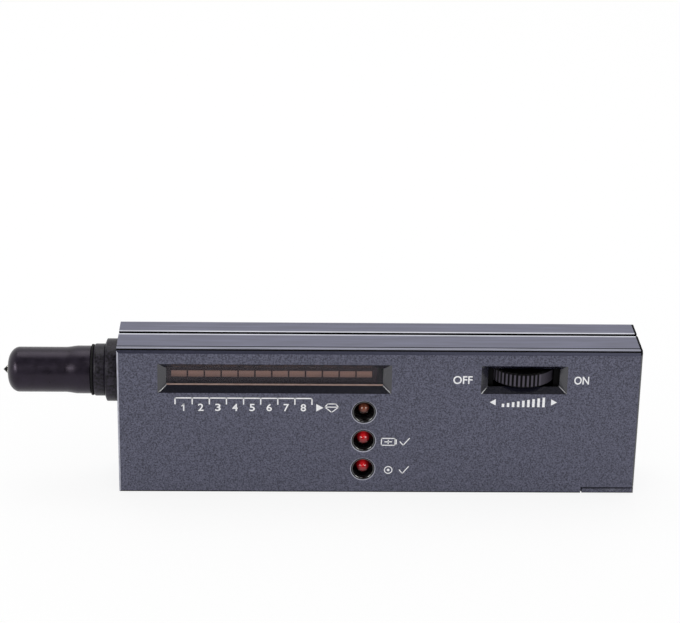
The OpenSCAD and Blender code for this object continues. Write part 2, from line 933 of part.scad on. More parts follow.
module lamp_cups()
{
    color("#0c0c0e")
    for (z = lamp_rows)
        turned_y(lamp_x, z, concat(
            [
                [cup_d / 2 - fit / 2, cup_set + cup_rim], [cup_d / 2 - fit / 2, face_wall],
                [cup_flange_d / 2, face_wall], [cup_flange_d / 2, face_wall + cup_flange_t],
                [cup_tube_d / 2, face_wall + cup_flange_t], [cup_tube_d / 2, cup_l], [cup_bore_r, cup_l],
                [cup_bore_r, cup_set + funnel_depth]
            ],
            [
                for (a = [lip_turn : -lip_step : 0])
                    [cup_mouth_r - lip_round * sin(a), cup_set + lip_round * (1 - cos(a))]
            ]
        ));
}

module upper_lamp()
{
    color("#5a1c1a")
    lamp(lamp_rows[0], upper_lamp_set);
}

module middle_lamp()
{
    color("#d02a2e")
    lamp(lamp_rows[1], 0);
}

module lower_lamp()
{
    color("#d02a2e")
    lamp(lamp_rows[2], 0);
}

module lamp_legs()
{
    color("#b9b6ad")
    for (k = [0 : 2])
        for (side = [-1, 1])
            translate([lamp_x + side * lamp_leg_in, 0, lamp_rows[k]])
                block(
                    [-pin_w / 2, fy + lamp_depth + lamp_body_l + (k == 0 ? upper_lamp_set : 0), -pin_w / 2],
                    [pin_w / 2, board_y1 + pin_out, pin_w / 2]
                );
}

module circuit_board()
{
    color("#2f6b3c")
    difference() {
        translate([0, board_y1, 0])
            rotate([90, 0, 0])
                linear_extrude(board_t)
                    polygon([
                        [board_x0, board_z0], [board_x1, board_z0], [board_x1, tongue_z0],
                        [tongue_x1, tongue_z0], [tongue_x1, board_z1], [notch_x1, board_z1],
                        [notch_x1, notch_z0], [board_x0, notch_z0]
                    ]);
        for (p = boss_places)
            rod_y(p[0], p[1], board_y0 - cut, board_y1 + cut, boss_d + 4 * fit);
        for (p = post_places)
            rod_y(p[0], p[1], board_y0 - cut, board_y1 + cut, board_screw_d + 2 * fit);
        pin_field(true);
        for (z = lamp_rows)
            for (side = [-1, 1])
                rod_y(lamp_x + side * lamp_leg_in, z, board_y0 - cut, board_y1 + cut, pin_hole_d);
    }
}

module board_screws()
{
    color("#8f9196")
    for (p = post_places) {
        rod_y(p[0], p[1], board_y1, board_y1 + post_screw_head_h, post_screw_head_d);
        rod_y(p[0], p[1], board_y1 - post_screw_l, board_y1 + join, board_screw_d);
    }
}

module driver_chips()
{
    color("#1f1f21")
    for (p = chip_places)
        difference() {
            translate([p[0] - chip_l / 2, board_y1 + chip_stand, p[1] - chip_w / 2])
                cube([chip_l, chip_h, chip_w]);
            rod_y(
                p[0] - chip_l / 2, p[1], board_y1 + chip_stand + chip_h - chip_notch_depth, by, chip_notch_d
            );
        }
}

module chip_legs_set()
{
    color("#b9b6ad")
    for (p = chip_places)
        for (k = [0 : chip_legs - 1])
            for (side = [-1, 1])
                translate([
                    p[0] + (k - (chip_legs - 1) / 2) * chip_pitch - leg_w / 2, board_y1,
                    p[1] + side * (chip_w / 2 + leg_t / 2) - leg_t / 2
                ])
                    cube([leg_w, chip_stand + chip_h / 2, leg_t]);
}

module resistors()
{
    color("#c9b18a")
    for (p = resistor_places)
        translate([p[0], board_y1 + resistor_d / 2 + resistor_stand, p[1]]) {
            cylinder(d = resistor_d, h = resistor_l, center = true);
            cylinder(d = resistor_wire_d, h = resistor_span, center = true);
            for (side = [-1, 1])
                translate([0, 0, side * resistor_span / 2])
                    rotate([90, 0, 0])
                        cylinder(d = resistor_wire_d, h = resistor_d / 2 + resistor_stand);
            for (side = [-1, 1])
                translate([0, 0, side * resistor_span / 2])
                    sphere(d = resistor_wire_d);
        }
}

module capacitors()
{
    color("#23304f")
    for (p = capacitor_places)
        difference() {
            rod_y(p[0], p[1], board_y0 - capacitor_h, board_y0, capacitor_d);
            translate([p[0], board_y0 - capacitor_groove, p[1]])
                rotate([-90, 0, 0])
                    rotate_extrude()
                        translate([capacitor_d / 2, 0])
                            circle(d = capacitor_groove_d);
        }
}

module transistors()
{
    color("#1f1f21")
    for (p = transistor_places) {
        intersection() {
            rod_y(
                p[0], p[1], board_y0 - transistor_stand - transistor_h, board_y0 - transistor_stand,
                transistor_d
            );
            block(
                [p[0] - transistor_d, fy, p[1] - transistor_flat],
                [p[0] + transistor_d, board_y0, p[1] + transistor_d]
            );
        }
        for (k = [-1 : 1])
            translate([p[0] + k * transistor_pitch, 0, p[1]])
                block(
                    [-pin_w / 2, board_y0 - transistor_stand - join, -pin_w / 2],
                    [pin_w / 2, board_y0, pin_w / 2]
                );
    }
}

module buzzer()
{
    color("#17171a")
    difference() {
        rod_y(buzzer_place[0], buzzer_place[1], board_y0 - buzzer_h, board_y0, buzzer_d);
        rod_y(
            buzzer_place[0], buzzer_place[1], board_y0 - buzzer_h - cut,
            board_y0 - buzzer_h + buzzer_hole_depth, buzzer_hole_d
        );
    }
}

module volume_control()
{
    color("#3a3028")
    difference() {
        translate([wheel_x, wheel_y, pot_z0])
            cylinder(d = pot_d, h = pot_t);
        translate([wheel_x, wheel_y, pot_z0 - cut])
            cylinder(d = shaft_d + 2 * run_fit, h = pot_t + 2 * cut);
    }
}

module control_terminals()
{
    reach = sqrt(pow(pot_d / 2, 2) - pow(board_y1 - wheel_y, 2));
    color("#b9b6ad")
    for (k = [-1 : 1])
        translate([0, 0, pot_z0 + pot_t / 2 + k * control_leg_step])
            block(
                [tongue_x1 - control_leg_in, board_y1, -pin_w / 2],
                [wheel_x - reach, board_y1 + pin_w, pin_w / 2]
            );
}

module control_shaft()
{
    color("#d8d4c8")
    difference() {
        translate([wheel_x, wheel_y, wheel_z0])
            cylinder(d = shaft_d, h = pot_z1 - wheel_z0);
        translate([wheel_x, wheel_y, wheel_z0 - cut])
            cylinder(d = wheel_screw_d + fit, h = wheel_screw_l + 2 * cut);
    }
}

module thumbwheel()
{
    r = wheel_d / 2;
    color("#1a1a1c")
    translate([wheel_x, wheel_y, wheel_z0])
        difference() {
            intersection() {
                linear_extrude(wheel_t)
                    polygon(rim_outline);
                rotate_extrude()
                    polygon([
                        [0, 0], [r - rim_chamfer, 0], [r + join, rim_chamfer + join],
                        [r + join, wheel_t - rim_chamfer - join], [r - rim_chamfer, wheel_t], [0, wheel_t]
                    ]);
            }
            translate([0, 0, -cut])
                cylinder(d = shaft_d + fit, h = wheel_t + 2 * cut);
        }
}

module wheel_screw()
{
    color("#8f9196")
    translate([wheel_x, wheel_y, wheel_z0]) {
        translate([0, 0, -wheel_screw_head_h])
            cylinder(d = wheel_screw_head_d, h = wheel_screw_head_h);
        translate([0, 0, -join])
            cylinder(d = wheel_screw_d, h = wheel_screw_l + join);
    }
}

module battery()
{
    color("#3c3f44")
    translate([body_x0, 0, battery_z])
        rotate([90, 0, 90])
            linear_extrude(battery_x1 - body_x0)
                difference() {
                    square([battery_d, battery_h], center = true);
                    for (my = [0, 1])
                        for (mz = [0, 1])
                            mirror([my, 0])
                                mirror([0, mz])
                                    translate([battery_d / 2 - battery_round, battery_h / 2 - battery_round])
                                        round_waste(battery_round);
                }
}

module battery_terminals()
{
    color("#c4c6c9")
    {
        rod_x(battery_x0, body_x0, 0, battery_z + terminal_pitch / 2, stud_d);
        difference() {
            rod_x(battery_x0, body_x0, 0, battery_z - terminal_pitch / 2, socket_d);
            rod_x(
                battery_x0 - cut, body_x0 - socket_floor, 0, battery_z - terminal_pitch / 2, socket_bore_d
            );
        }
    }
}

module battery_snap()
{
    color("#161618")
    difference() {
        block([snap_x0, -snap_d / 2, battery_z - snap_h / 2], [snap_x1, snap_d / 2, battery_z + snap_h / 2]);
        rod_x(battery_x0 - fit, snap_x1 + cut, 0, battery_z + terminal_pitch / 2, stud_d + 2 * fit);
        rod_x(battery_x0 - fit, snap_x1 + cut, 0, battery_z - terminal_pitch / 2, socket_d + 2 * fit);
    }
}

module red_lead()
{
    color("#b3261f")
    battery_lead(battery_z + lead_gap / 2);
}

module black_lead()
{
    color("#151515")
    battery_lead(battery_z - lead_gap / 2);
}

module probe_collar()
{
    color("#1d1c20")
    chamfered_ring(collar_x0, lx, collar_d, thread_d + fit, collar_slope);
}

module probe_ring()
{
    color("#1d1c20")
    chamfered_ring(ring_x0, collar_x0, ring_d, thread_d + fit, edge);
}

module probe_washer()
{
    color("#0d0d0f")
    turned_x([
        [thread_d / 2 + fit / 2, washer_x0], [washer_d / 2, washer_x0],
        [washer_d / 2, ring_x0], [thread_d / 2 + fit / 2, ring_x0]
    ]);
}

module probe_barrel()
{
    body_r = sleeve_d / 2 - sleeve_wall - run_fit;
    root_r = root_d / 2 - sleeve_wall - run_fit;
    color("#d9d4c6")
    turned_x(concat(
        [
            [tip_d / 2 + run_fit, chamber_x0], [tip_d / 2 + run_fit, barrel_x0],
            [body_r - barrel_chamfer, barrel_x0], [body_r, barrel_x0 + barrel_chamfer]
        ],
        flare(body_r, root_r),
        [
            [root_r, washer_x0], [thread_d / 2, washer_x0], [thread_d / 2, barrel_x1],
            [wire_bore_d / 2, barrel_x1], [wire_bore_d / 2, chamber_x1], [chamber_d / 2, chamber_x1],
            [chamber_d / 2, chamber_x0]
        ]
    ));
}

module barrel_locknut()
{
    color("#8f9196")
    difference() {
        translate([lx + wall, 0, probe_z])
            rotate([0, 90, 0])
                cylinder(d = locknut_d, h = locknut_t, $fn = 6);
        rod_x(lx + wall - cut, lx + wall + locknut_t + cut, 0, probe_z, thread_d + fit);
    }
}

module probe_leads()
{
    color("#d8d8d8")
    for (side = [-1, 1])
        probe_lead(probe_z + side * probe_lead_gap / 2, probe_z - probe_pad_drop + side * probe_pad_gap / 2);
}

module tip_spring()
{
    x0 = tip_collar_x1 + spring_wire / 2;
    x1 = chamber_x1 - spring_wire / 2;
    steps = 14 * spring_coils;
    color("#b9bcc0")
    tube(
        [
            for (i = [0 : steps])
                [
                    x0 + (x1 - x0) * i / steps,
                    coil_r * cos(360 * spring_coils * i / steps),
                    probe_z + coil_r * sin(360 * spring_coils * i / steps)
                ]
        ],
        [
            for (i = [0 : steps])
                [0, -sin(360 * spring_coils * i / steps), cos(360 * spring_coils * i / steps)]
        ],
        [1, 0, 0], spring_wire / 2, 6
    );
}

module probe_tip()
{
    color("#b08a5a")
    turned_x([
        [0, tip_x0], [tip_d / 2, tip_x0 + tip_cone], [tip_d / 2, tip_collar_x0],
        [tip_collar_d / 2, tip_collar_x0], [tip_collar_d / 2, tip_collar_x1], [stem_d / 2, tip_collar_x1],
        [stem_d / 2, stem_x1], [0, stem_x1]
    ]);
}

module heater_bead()
{
    color("#c8c2b4")
    turned_x([[0, stem_x1], [bead_d / 2, stem_x1], [bead_d / 2, stem_x1 + bead_l], [0, stem_x1 + bead_l]]);
}

module probe_sleeve()
{
    r = sleeve_d / 2;
    hole_r = tip_d / 2 + 3 * fit;
    inner = flare(r - sleeve_wall, root_d / 2 - sleeve_wall);
    color("#18171b")
    turned_x(concat(
        [[hole_r, sleeve_x0]],
        [
            for (a = [0 : 7.5 : 90])
                [r - nose_r + nose_r * sin(a), sleeve_x0 + nose_l - nose_l * cos(a)]
        ],
        flare(r, root_d / 2),
        [[root_d / 2, sleeve_x1], [root_d / 2 - sleeve_wall, sleeve_x1]],
        [for (i = [8 : -1 : 0]) inner[i]],
        [[r - sleeve_wall, sleeve_x0 + nose_wall], [hole_r, sleeve_x0 + nose_wall]]
    ));
}

front_shell();
rear_shell();
battery_door();
case_screws();
display_pane();
bargraph_housing();
bargraph_segments();
bargraph_pins();
lamp_cups();
upper_lamp();
middle_lamp();
lower_lamp();
lamp_legs();
circuit_board();
board_screws();
driver_chips();
chip_legs_set();
resistors();
capacitors();
transistors();
buzzer();
volume_control();
control_terminals();
control_shaft();
thumbwheel();
wheel_screw();
battery();
battery_terminals();
battery_snap();
red_lead();
black_lead();
probe_collar();
probe_ring();
probe_washer();
probe_barrel();
barrel_locknut();
probe_leads();
tip_spring();
probe_tip();
heater_bead();
probe_sleeve();
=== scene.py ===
"""Looks of a pocket gem tester: case, display, lamps, thumbwheel, probe, print, insides and stage."""

import math

import bmesh
import bpy
from bpy.props import FloatProperty, FloatVectorProperty, IntProperty, PointerProperty
from mathutils import Matrix, Vector


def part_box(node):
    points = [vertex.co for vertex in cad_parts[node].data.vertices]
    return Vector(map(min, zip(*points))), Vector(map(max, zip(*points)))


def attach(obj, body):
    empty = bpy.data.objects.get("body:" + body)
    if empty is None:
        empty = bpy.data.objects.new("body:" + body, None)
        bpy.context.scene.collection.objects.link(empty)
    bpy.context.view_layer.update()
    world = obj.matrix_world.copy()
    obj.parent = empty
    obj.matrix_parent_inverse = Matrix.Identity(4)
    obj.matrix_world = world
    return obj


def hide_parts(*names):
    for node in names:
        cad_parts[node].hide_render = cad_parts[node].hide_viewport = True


bl_info = {
    "name": "Gem Tester Looks",
    "version": (1, 0, 0),
    "blender": (4, 5, 0),
    "location": "View3D > Sidebar > Tester",
    "description": "Dresses the packed tester with its finishes, print, stage and camera",
    "category": "Object",
}

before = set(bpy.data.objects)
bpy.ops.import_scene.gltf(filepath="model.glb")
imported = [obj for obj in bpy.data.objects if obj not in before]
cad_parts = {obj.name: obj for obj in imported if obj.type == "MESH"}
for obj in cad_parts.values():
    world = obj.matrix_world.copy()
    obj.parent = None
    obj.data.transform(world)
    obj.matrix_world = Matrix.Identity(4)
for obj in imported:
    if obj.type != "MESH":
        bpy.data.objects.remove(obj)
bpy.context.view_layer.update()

MM = 0.001
MERGE = 0.0005 * MM
ROUND_STEPS = 96

# Faces of the case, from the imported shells
front_low, front_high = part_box("front_shell")
LEFT_X = front_low.x
RIGHT_X = front_high.x
FRONT_Y = front_low.y
SEAM_Y = front_high.y
BACK_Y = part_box("rear_shell")[1].y
TOP_Z = front_high.z

# Places of the finishes in the list of the case's materials
# The last finish is black matt paint that stands for shade, inside the case and on shaded strips outside
GRAINED, SMOOTH, POLISHED, SATIN, PAINTED_SHADE = range(5)

# Sockets of a Mix node for numbers and for colours, which share their names
NUMBER_A, NUMBER_B = 2, 3
COLOUR_A, COLOUR_B = 6, 7


def srgb(code):
    """Linear red, green, blue and alpha of a hex colour."""
    parts = [int(code[i:i + 2], 16) / 255 for i in (0, 2, 4)]
    return [p / 12.92 if p <= 0.04045 else ((p + 0.055) / 1.055) ** 2.4 for p in parts] + [1.0]


def opaque(tone, share=1.0):
    """Red, green, blue and alpha of a setting's colour, dimmed to a share of it."""
    return [share * part for part in tone] + [1.0]


def middle(node):
    """Middle of a CAD node's box."""
    low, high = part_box(node)
    return (low + high) / 2


# Settings

def length(name, description, size):
    """Setting for a length, with its default in millimetres."""
    return FloatProperty(name=name, description=description, default=size * MM, unit="LENGTH")


def colour(name, description, code):
    """Setting for a colour, with its default as a hex colour."""
    return FloatVectorProperty(
        name=name, description=description, default=srgb(code)[:3], subtype="COLOR")


def angle(name, description, degrees):
    """Setting for an angle, with its default in degrees."""
    return FloatProperty(
        name=name, description=description, default=math.radians(degrees), subtype="ANGLE")


class CaseSettings(bpy.types.PropertyGroup):
    """Edges and colours of the case."""

    edge: length("Outer edge", "Rounding of the case's outer edges", 0.25)
    rim: length("Recess rim", "Rounding of the edges of recesses and holes", 0.14)
    grain: length("Grain", "Grain of the textured faces", 0.42)
    face_dark: colour("Face, dark", "Darker tone of the grained faces", "232438")
    face_light: colour("Face, light", "Lighter tone of the grained faces", "606177")
    side: colour("Side", "Colour of the smooth top, base and ends", "6a6b80")
    bevel: colour("Bevel", "Colour of the polished bevels and recesses", "1b1b28")
    # Painted highlights: along the front's smooth edges, along the crest and beside the seam, with their
    # width at the seam
    front_highlight: colour("Worn", "Colour of the smooth edges of the front face", "b8b9c8")
    crest_highlight: colour("Crest tone", "Colour of the narrow strip along the crest", "9697a8")
    seam_highlight: colour("Seam tone", "Colour of the smooth faces along the seam", "e2e3ee")
    seam_highlight_w: length("Worn width", "Width of the paler lines along the seam", 1.1)
    chamfer: colour("Chamfer", "Colour of the satin outer chamfers", "2e2f3e")
    crest: length("Crest", "Depth of the chamfer along the front's upper edge", 1.2)
    # The dark lines below and behind the crest and the strip at the right end of the top are painted shade
    shade_below: length("Score", "Depth of the dark line below the crest", 0.36)
    shade_below_gap: length("Score gap", "Distance from the crest to the dark line below it", 0.2)
    shade_behind: length("Hairline", "Depth of the dark line behind the crest", 0.55)
    shade_behind_gap: length("Hairline gap", "Distance from the crest to the dark line behind it", 0.75)
    end_shade: length("End line", "Width of the dark strip at the right end of the top", 0.6)
    mitre: length("Mitre", "Rounding of the corners where the bevels of a recess meet", 0.3)


class DisplaySettings(bpy.types.PropertyGroup):
    """Pane and segments of the display."""

    pane_tint: colour("Pane", "Tint of the pane", "c8bebc")
    segment: colour("Segment", "Colour of an unlit segment", "c6aa9a")
    pane_edge: length("Pane edge", "Rounding of the pane's edges", 0.1)
    pane_hidden: length("Hidden edge", "How far the pane runs behind the front face", 1.2)
    bead_depth: length("Bead depth", "Depth of the cement bead in front of the pane", 0.18)
    bead_height: length("Bead height", "Height of the cement bead along the pane", 0.45)


class LampSettings(bpy.types.PropertyGroup):
    """Domes of the lamps and their cups."""

    glow: FloatProperty(name="Glow", description="Strength of the lit lamps", default=0.4)
    lamp_d: length("Lamp diameter", "Diameter of a dome", 3.4)
    flange_t: length("Flange", "Thickness of the flanges of lamps and cups", 0.8)
    cup_d: length("Cup diameter", "Diameter of a cup in the front face", 6.6)
    rim: length("Cup rim", "Width of a cup's rim", 0.2)
    lip: length("Lip", "Rounding of a cup's mouth", 0.34)
    funnel: length("Funnel", "Depth of a cup's funnel behind its mouth", 2.2)
    gap: length("Gap", "Gap round a lamp in its cup", 0.1)
    tube_wall: length("Tube wall", "Wall of a cup's tube", 0.8)
    face_wall: length("Face wall", "Thickness of the front face", 2)


class WheelSettings(bpy.types.PropertyGroup):
    """Thumbwheel."""

    rib_depth: length("Rib depth", "Depth of the grooves between the ribs", 0.45)
    # The groove colour is painted shade and the rib colour a painted highlight over the black ABS
    groove: colour("Groove", "Colour in the grooves", "040405")
    rib: colour("Rib", "Colour on the ribs", "504c57")
    # The painted rib highlight is dimmed to this share on the smooth stretch
    dull: FloatProperty(
        name="Dull", description="Share of the rib colour left on the smooth stretch", default=0.6)
    smooth_mid: angle("Smooth stretch", "Angle from the front to the middle of the smooth stretch", 60)
    smooth_half: angle("Half stretch", "Half of the angle that the smooth stretch spans", 30)


class ProbeSettings(bpy.types.PropertyGroup):
    """Soft sleeve and turned pieces of the probe."""

    sleeve_d: length("Sleeve diameter", "Diameter of the sleeve in front of its root", 12.5)
    sleeve_wall: length("Sleeve wall", "Wall of the sleeve", 1.15)
    root_l: length("Root", "Length of the stretched root of the sleeve", 3.4)
    flare_l: length("Flare", "Length over which the sleeve widens", 3.8)
    nose_l: length("Nose length", "Length of the sleeve's rounded nose", 3.2)
    nose_r: length("Nose height", "Height of the rounding of the nose", 4.4)
    nose_wall: length("Nose wall", "Thickness of the sleeve's nose", 2.2)
    tip_d: length("Tip diameter", "Diameter of the tip", 2.2)
    tip_gap: length("Tip gap", "Gap round the tip in the sleeve", 0.3)
    collar_slope: length("Collar slope", "Height of the slope on the collar's edge", 1.3)
    ring_edge: length("Ring edge", "Height of the slope on the ring's edge", 0.5)
    slope_l: length("Slope length", "Length of the slopes on the collar and the ring", 0.5)
    tip_cone: length("Tip cone", "Length of the darkened cone of the tip", 1.1)
    washer_edge: length("Washer edge", "Rounding of the washer's edges", 0.1)
    bore: length("Bore", "Bore of the collar, the ring and the washer", 9.1)
    edge: length("Edge", "Rounding of the turned edges", 0.2)


class PrintSettings(bpy.types.PropertyGroup):
    """Pale ink on the front face. Places are given from the middle of the case and from its base."""

    film: length("Film", "Thickness of the ink", 0.02)
    stroke: length("Stroke", "Width of the scale's lines", 0.35)
    bold: length("Bold", "How far the letters and digits are thickened", 0.05)
    scale_x: length("Scale start", "Left end of the scale", -56.15)
    scale_z: length("Scale height", "Height of the scale's line", 28.95)
    scale_step: length("Scale step", "Width of one interval of the scale", 4.7)
    scale_count: IntProperty(name="Intervals", description="Number of intervals of the scale", default=8)
    tick: length("Tick", "Length of the scale's ticks", 1.75)
    digit_h: length("Digit height", "Height of the digits", 2.2)
    digit_w: length("Digit width", "Width of the digits", 1.5)
    digit_drop: length("Digit drop", "Distance from the scale's line down to the middle of the digits", 2.8)
    pointer: length("Pointer", "Radius of the scale's pointer", 1.3)
    level_pointer: length("Level pointer", "Radius of the pointers under the wheel", 1.1)
    pointer_gap: length("Pointer gap", "Distance from the scale to its pointer", 1.85)
    gem: length("Gem sign", "Half width of the gem sign", 1.9)
    gem_gap: length("Gem gap", "Distance from the pointer to the gem sign", 3.6)
    fine: length("Fine stroke", "Width of the fine lines of the signs", 0.28)
    word_h: length("Word height", "Height of the words at the switch", 2.4)
    off_w: length("Off width", "Width of the word at the wheel's left", 5.3)
    on_w: length("On width", "Width of the word at the wheel's right", 4.1)
    off_gap: length("Off gap", "Distance from the wheel to the word at its left", 16.95)
    on_gap: length("On gap", "Distance from the wheel to the word at its right", 15.75)
    level_drop: length("Level drop", "Distance from the wheel down to the row of bars", 6.65)
    level_reach: length("Level reach", "Distance from the middle of the wheel to the pointers", 8.2)
    bars: IntProperty(name="Bars", description="Number of bars in the row", default=9)
    bar: length("Bar width", "Width of a bar", 0.7)
    bar_step: length("Bar step", "Distance between two bars", 1.4)
    bar_low: length("Lowest bar", "Height of the first bar", 0.3)
    bar_high: length("Highest bar", "Height of the last bar", 2.2)
    sign_gap: length("Sign gap", "Distance from a lamp to the sign beside it", 5)
    sign_drop: length("Sign drop", "How far a sign sits below the middle of its lamp", 0.25)
    sign_w: length("Sign width", "Width of a sign", 4.2)
    sign_h: length("Sign height", "Height of a sign", 2.1)
    sign_space: length("Sign space", "Space between a sign and its tick", 1)


class StageSettings(bpy.types.PropertyGroup):
    """Camera and light."""

    place: FloatVectorProperty(
        name="Camera place", description="Place of the camera",
        default=(-0.0293, -0.5681, 0.2859), subtype="TRANSLATION", precision=4)
    pitch: angle("Pitch", "How far the camera looks down", 22.483)
    yaw: angle("Yaw", "Turn of the camera to the right", 1.848)
    roll: angle("Roll", "Lean of the camera to the left", 1.053)
    lens: FloatProperty(name="Lens", description="Focal length on a sensor of 36 mm", default=118.23)
    overhead: FloatProperty(
        name="Overhead lamp", description="Power of the overhead lamp in watts", default=2.5)
    front: FloatProperty(name="Front lamps", description="Power of each front lamp in watts", default=8.0)
    above: FloatProperty(
        name="Front overhead lamp", description="Power of the lamp above the front in watts", default=1.5)
    fill: FloatProperty(name="Fill light", description="Level of the light from all round", default=0.8)


GROUPS = {
    "tester_case": CaseSettings,
    "tester_display": DisplaySettings,
    "tester_lamps": LampSettings,
    "tester_wheel": WheelSettings,
    "tester_probe": ProbeSettings,
    "tester_print": PrintSettings,
    "tester_stage": StageSettings,
}


# Building blocks

def feed(tree, node, sockets):
    """Gives inputs of a node their values or links. A node stands for its first output in use."""
    for key, value in sockets.items():
        if isinstance(value, bpy.types.Node):
            value = next(output for output in value.outputs if output.enabled)
        if isinstance(value, bpy.types.NodeSocket):
            tree.links.new(value, node.inputs[key])
        else:
            node.inputs[key].default_value = value


def add(tree, kind, sockets=None, settings=None, stops=()):
    """Adds a node: sockets are its input values or links, settings its attributes, stops a ramp's colours."""
    made = tree.nodes.new(kind)
    for key, value in (settings or {}).items():
        setattr(made, key, value)
    feed(tree, made, sockets or {})
    if stops:
        ramp = made.color_ramp
        while len(ramp.elements) < len(stops):
            ramp.elements.new(1.0)
        for element, (place, tone) in zip(ramp.elements, stops):
            element.position = place
            element.color = tone
    return made


def new_material(name):
    """Empty material with its tree, its shader and the object coordinates."""
    material = bpy.data.materials.new(name)
    material.use_nodes = True
    tree = material.node_tree
    place = add(tree, "ShaderNodeTexCoord").outputs["Object"]
    return material, tree, tree.nodes["Principled BSDF"], place


def follow(tree, shader, pattern, stops, rough, bump=None, more=None):
    """Lets tone, roughness and height follow one pattern, and sets further values on the shader."""
    tone = add(tree, "ShaderNodeValToRGB", {"Fac": pattern}, stops=stops)
    gloss = add(tree, "ShaderNodeMapRange", {"Value": pattern, **rough})
    feed(tree, shader, {"Base Color": tone, "Roughness": gloss})
    if bump:
        height = add(tree, "ShaderNodeBump", {"Height": pattern, **bump})
        feed(tree, shader, {"Normal": height})
    feed(tree, shader, more or {})


def toned(name, dark, light, grain, rough, bump=0.0, more=None):
    """Material whose tone, roughness and height wander over a grain of a given size."""
    material, tree, shader, place = new_material(name)
    noise = add(tree, "ShaderNodeTexNoise", {
        "Vector": place, "Scale": 1 / grain, "Detail": 3.0, "Roughness": 0.6})
    follow(
        tree, shader, noise, [(0.35, srgb(dark)), (0.65, srgb(light))],
        {"From Min": 0.3, "From Max": 0.7, "To Min": rough * 0.85, "To Max": rough * 1.15},
        bump and {"Strength": 0.5, "Distance": bump}, more)
    return material


def banded(name, node, axis, stops, more):
    """Material with sharp bands along one axis of a CAD node, over a faint mottle."""
    material, tree, shader, place = new_material(name)
    start, end = [getattr(corner, axis.lower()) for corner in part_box(node)]
    along = add(tree, "ShaderNodeSeparateXYZ", {0: place}).outputs[axis]
    share = add(tree, "ShaderNodeMapRange", {"Value": along, "From Min": start, "From Max": end})
    tone = add(
        tree, "ShaderNodeValToRGB", {"Fac": share},
        stops=[(level, srgb(code)) for level, code in stops])
    tone.color_ramp.interpolation = "CONSTANT"
    mottle = add(tree, "ShaderNodeTexNoise", {"Vector": place, "Scale": 1 / (0.7 * MM)})
    rough = add(tree, "ShaderNodeMapRange", {"Value": mottle, "To Min": 0.25, "To Max": 0.45})
    feed(tree, shader, {"Base Color": tone, "Roughness": rough, **more})
    return material


def radial(tree, place, axes, centre):
    """Vector from a centre and its length, both only along the axes that are 1."""
    toward = add(tree, "ShaderNodeVectorMath", {0: place, 1: centre}, {"operation": "SUBTRACT"})
    flat = add(tree, "ShaderNodeVectorMath", {0: toward, 1: axes}, {"operation": "MULTIPLY"})
    away = add(tree, "ShaderNodeVectorMath", {0: flat}, {"operation": "LENGTH"})
    return flat, away


def make_piece(name, bm, materials, body, replaced=(), sharp=35, even=False):
    """Turns a finished bmesh into a piece that rides on a body and stands for CAD nodes."""
    for face in bm.faces:
        face.smooth = True
    mesh = bpy.data.meshes.new(name)
    bm.to_mesh(mesh)
    bm.free()
    mesh.set_sharp_from_angle(angle=math.radians(sharp))
    for material in materials if isinstance(materials, list) else [materials]:
        mesh.materials.append(material)
    piece = bpy.data.objects.new(name, mesh)
    bpy.context.scene.collection.objects.link(piece)
    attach(piece, body)
    if replaced:
        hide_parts(*replaced)
    if even:
        # Large flat faces stay flat beside their rounded edges
        piece.modifiers.new("Even shading", "WEIGHTED_NORMAL").keep_sharp = True


def paint(finish, *nodes):
    """Gives CAD nodes that keep their shape their finish."""
    for node in nodes:
        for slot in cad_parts[node].material_slots:
            slot.material = finish


def cad_copy(node):
    """Merged copy of a CAD node's mesh, with flat stretches joined into single faces."""
    flat = math.radians(0.5)
    bm = bmesh.new()
    bm.from_mesh(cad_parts[node].data)
    bmesh.ops.remove_doubles(bm, verts=bm.verts, dist=MERGE)
    bmesh.ops.dissolve_limit(bm, angle_limit=flat, verts=bm.verts, edges=bm.edges)
    return bm


def rounded(bm, parts, width, segments, affect="EDGES"):
    """Rounds the given edges or corners."""
    bmesh.ops.bevel(
        bm, geom=parts, offset=width, offset_type="OFFSET", affect=affect, segments=segments,
        profile=0.5, material=-1, clamp_overlap=True)


def soften(bm, width, segments, wanted=lambda place: True):
    """Rounds the sharp edges whose ends are both wanted."""
    sharp = math.radians(25)
    edges = [
        e for e in bm.edges
        if e.calc_face_angle(0.0) > sharp and all(wanted(v.co) for v in e.verts)]
    rounded(bm, edges, width, segments)


def turned(profile, centre, axis, closed=False, rounding=0.0, steps=ROUND_STEPS):
    """Solid of revolution from points of radius and place along the axis, with rounded corners."""
    bm = bmesh.new()
    axis = Vector(axis)
    out = axis.orthogonal().normalized()
    verts = [bm.verts.new(centre + axis * along + out * radius) for radius, along in profile]
    for pair in zip(verts, verts[1:]):
        bm.edges.new(pair)
    if closed:
        bm.edges.new((verts[-1], verts[0]))
    if rounding:
        rounded(bm, verts if closed else verts[1:-1], rounding, segments=3, affect="VERTICES")
    bmesh.ops.spin(
        bm, geom=bm.verts[:] + bm.edges[:], cent=centre, axis=axis, dvec=(0, 0, 0),
        angle=math.tau, steps=steps, use_merge=True, use_duplicate=False)
    bmesh.ops.remove_doubles(bm, verts=bm.verts, dist=MERGE)
    bmesh.ops.recalc_face_normals(bm, faces=bm.faces)
    return bm


def join(bm, other):
    """Adds one shape to another and frees it."""
    mesh = bpy.data.meshes.new("joined")
    other.to_mesh(mesh)
    other.free()
    bm.from_mesh(mesh)
    bpy.data.meshes.remove(mesh)


def arc(centre, radii, start, end, count):
    """Points of radius and place on part of an ellipse, angles in degrees."""
    angles = [math.radians(start + (end - start) * i / count) for i in range(count + 1)]
    return [(centre[0] + radii[0] * math.sin(a), centre[1] + radii[1] * math.cos(a)) for a in angles]


# Finishes

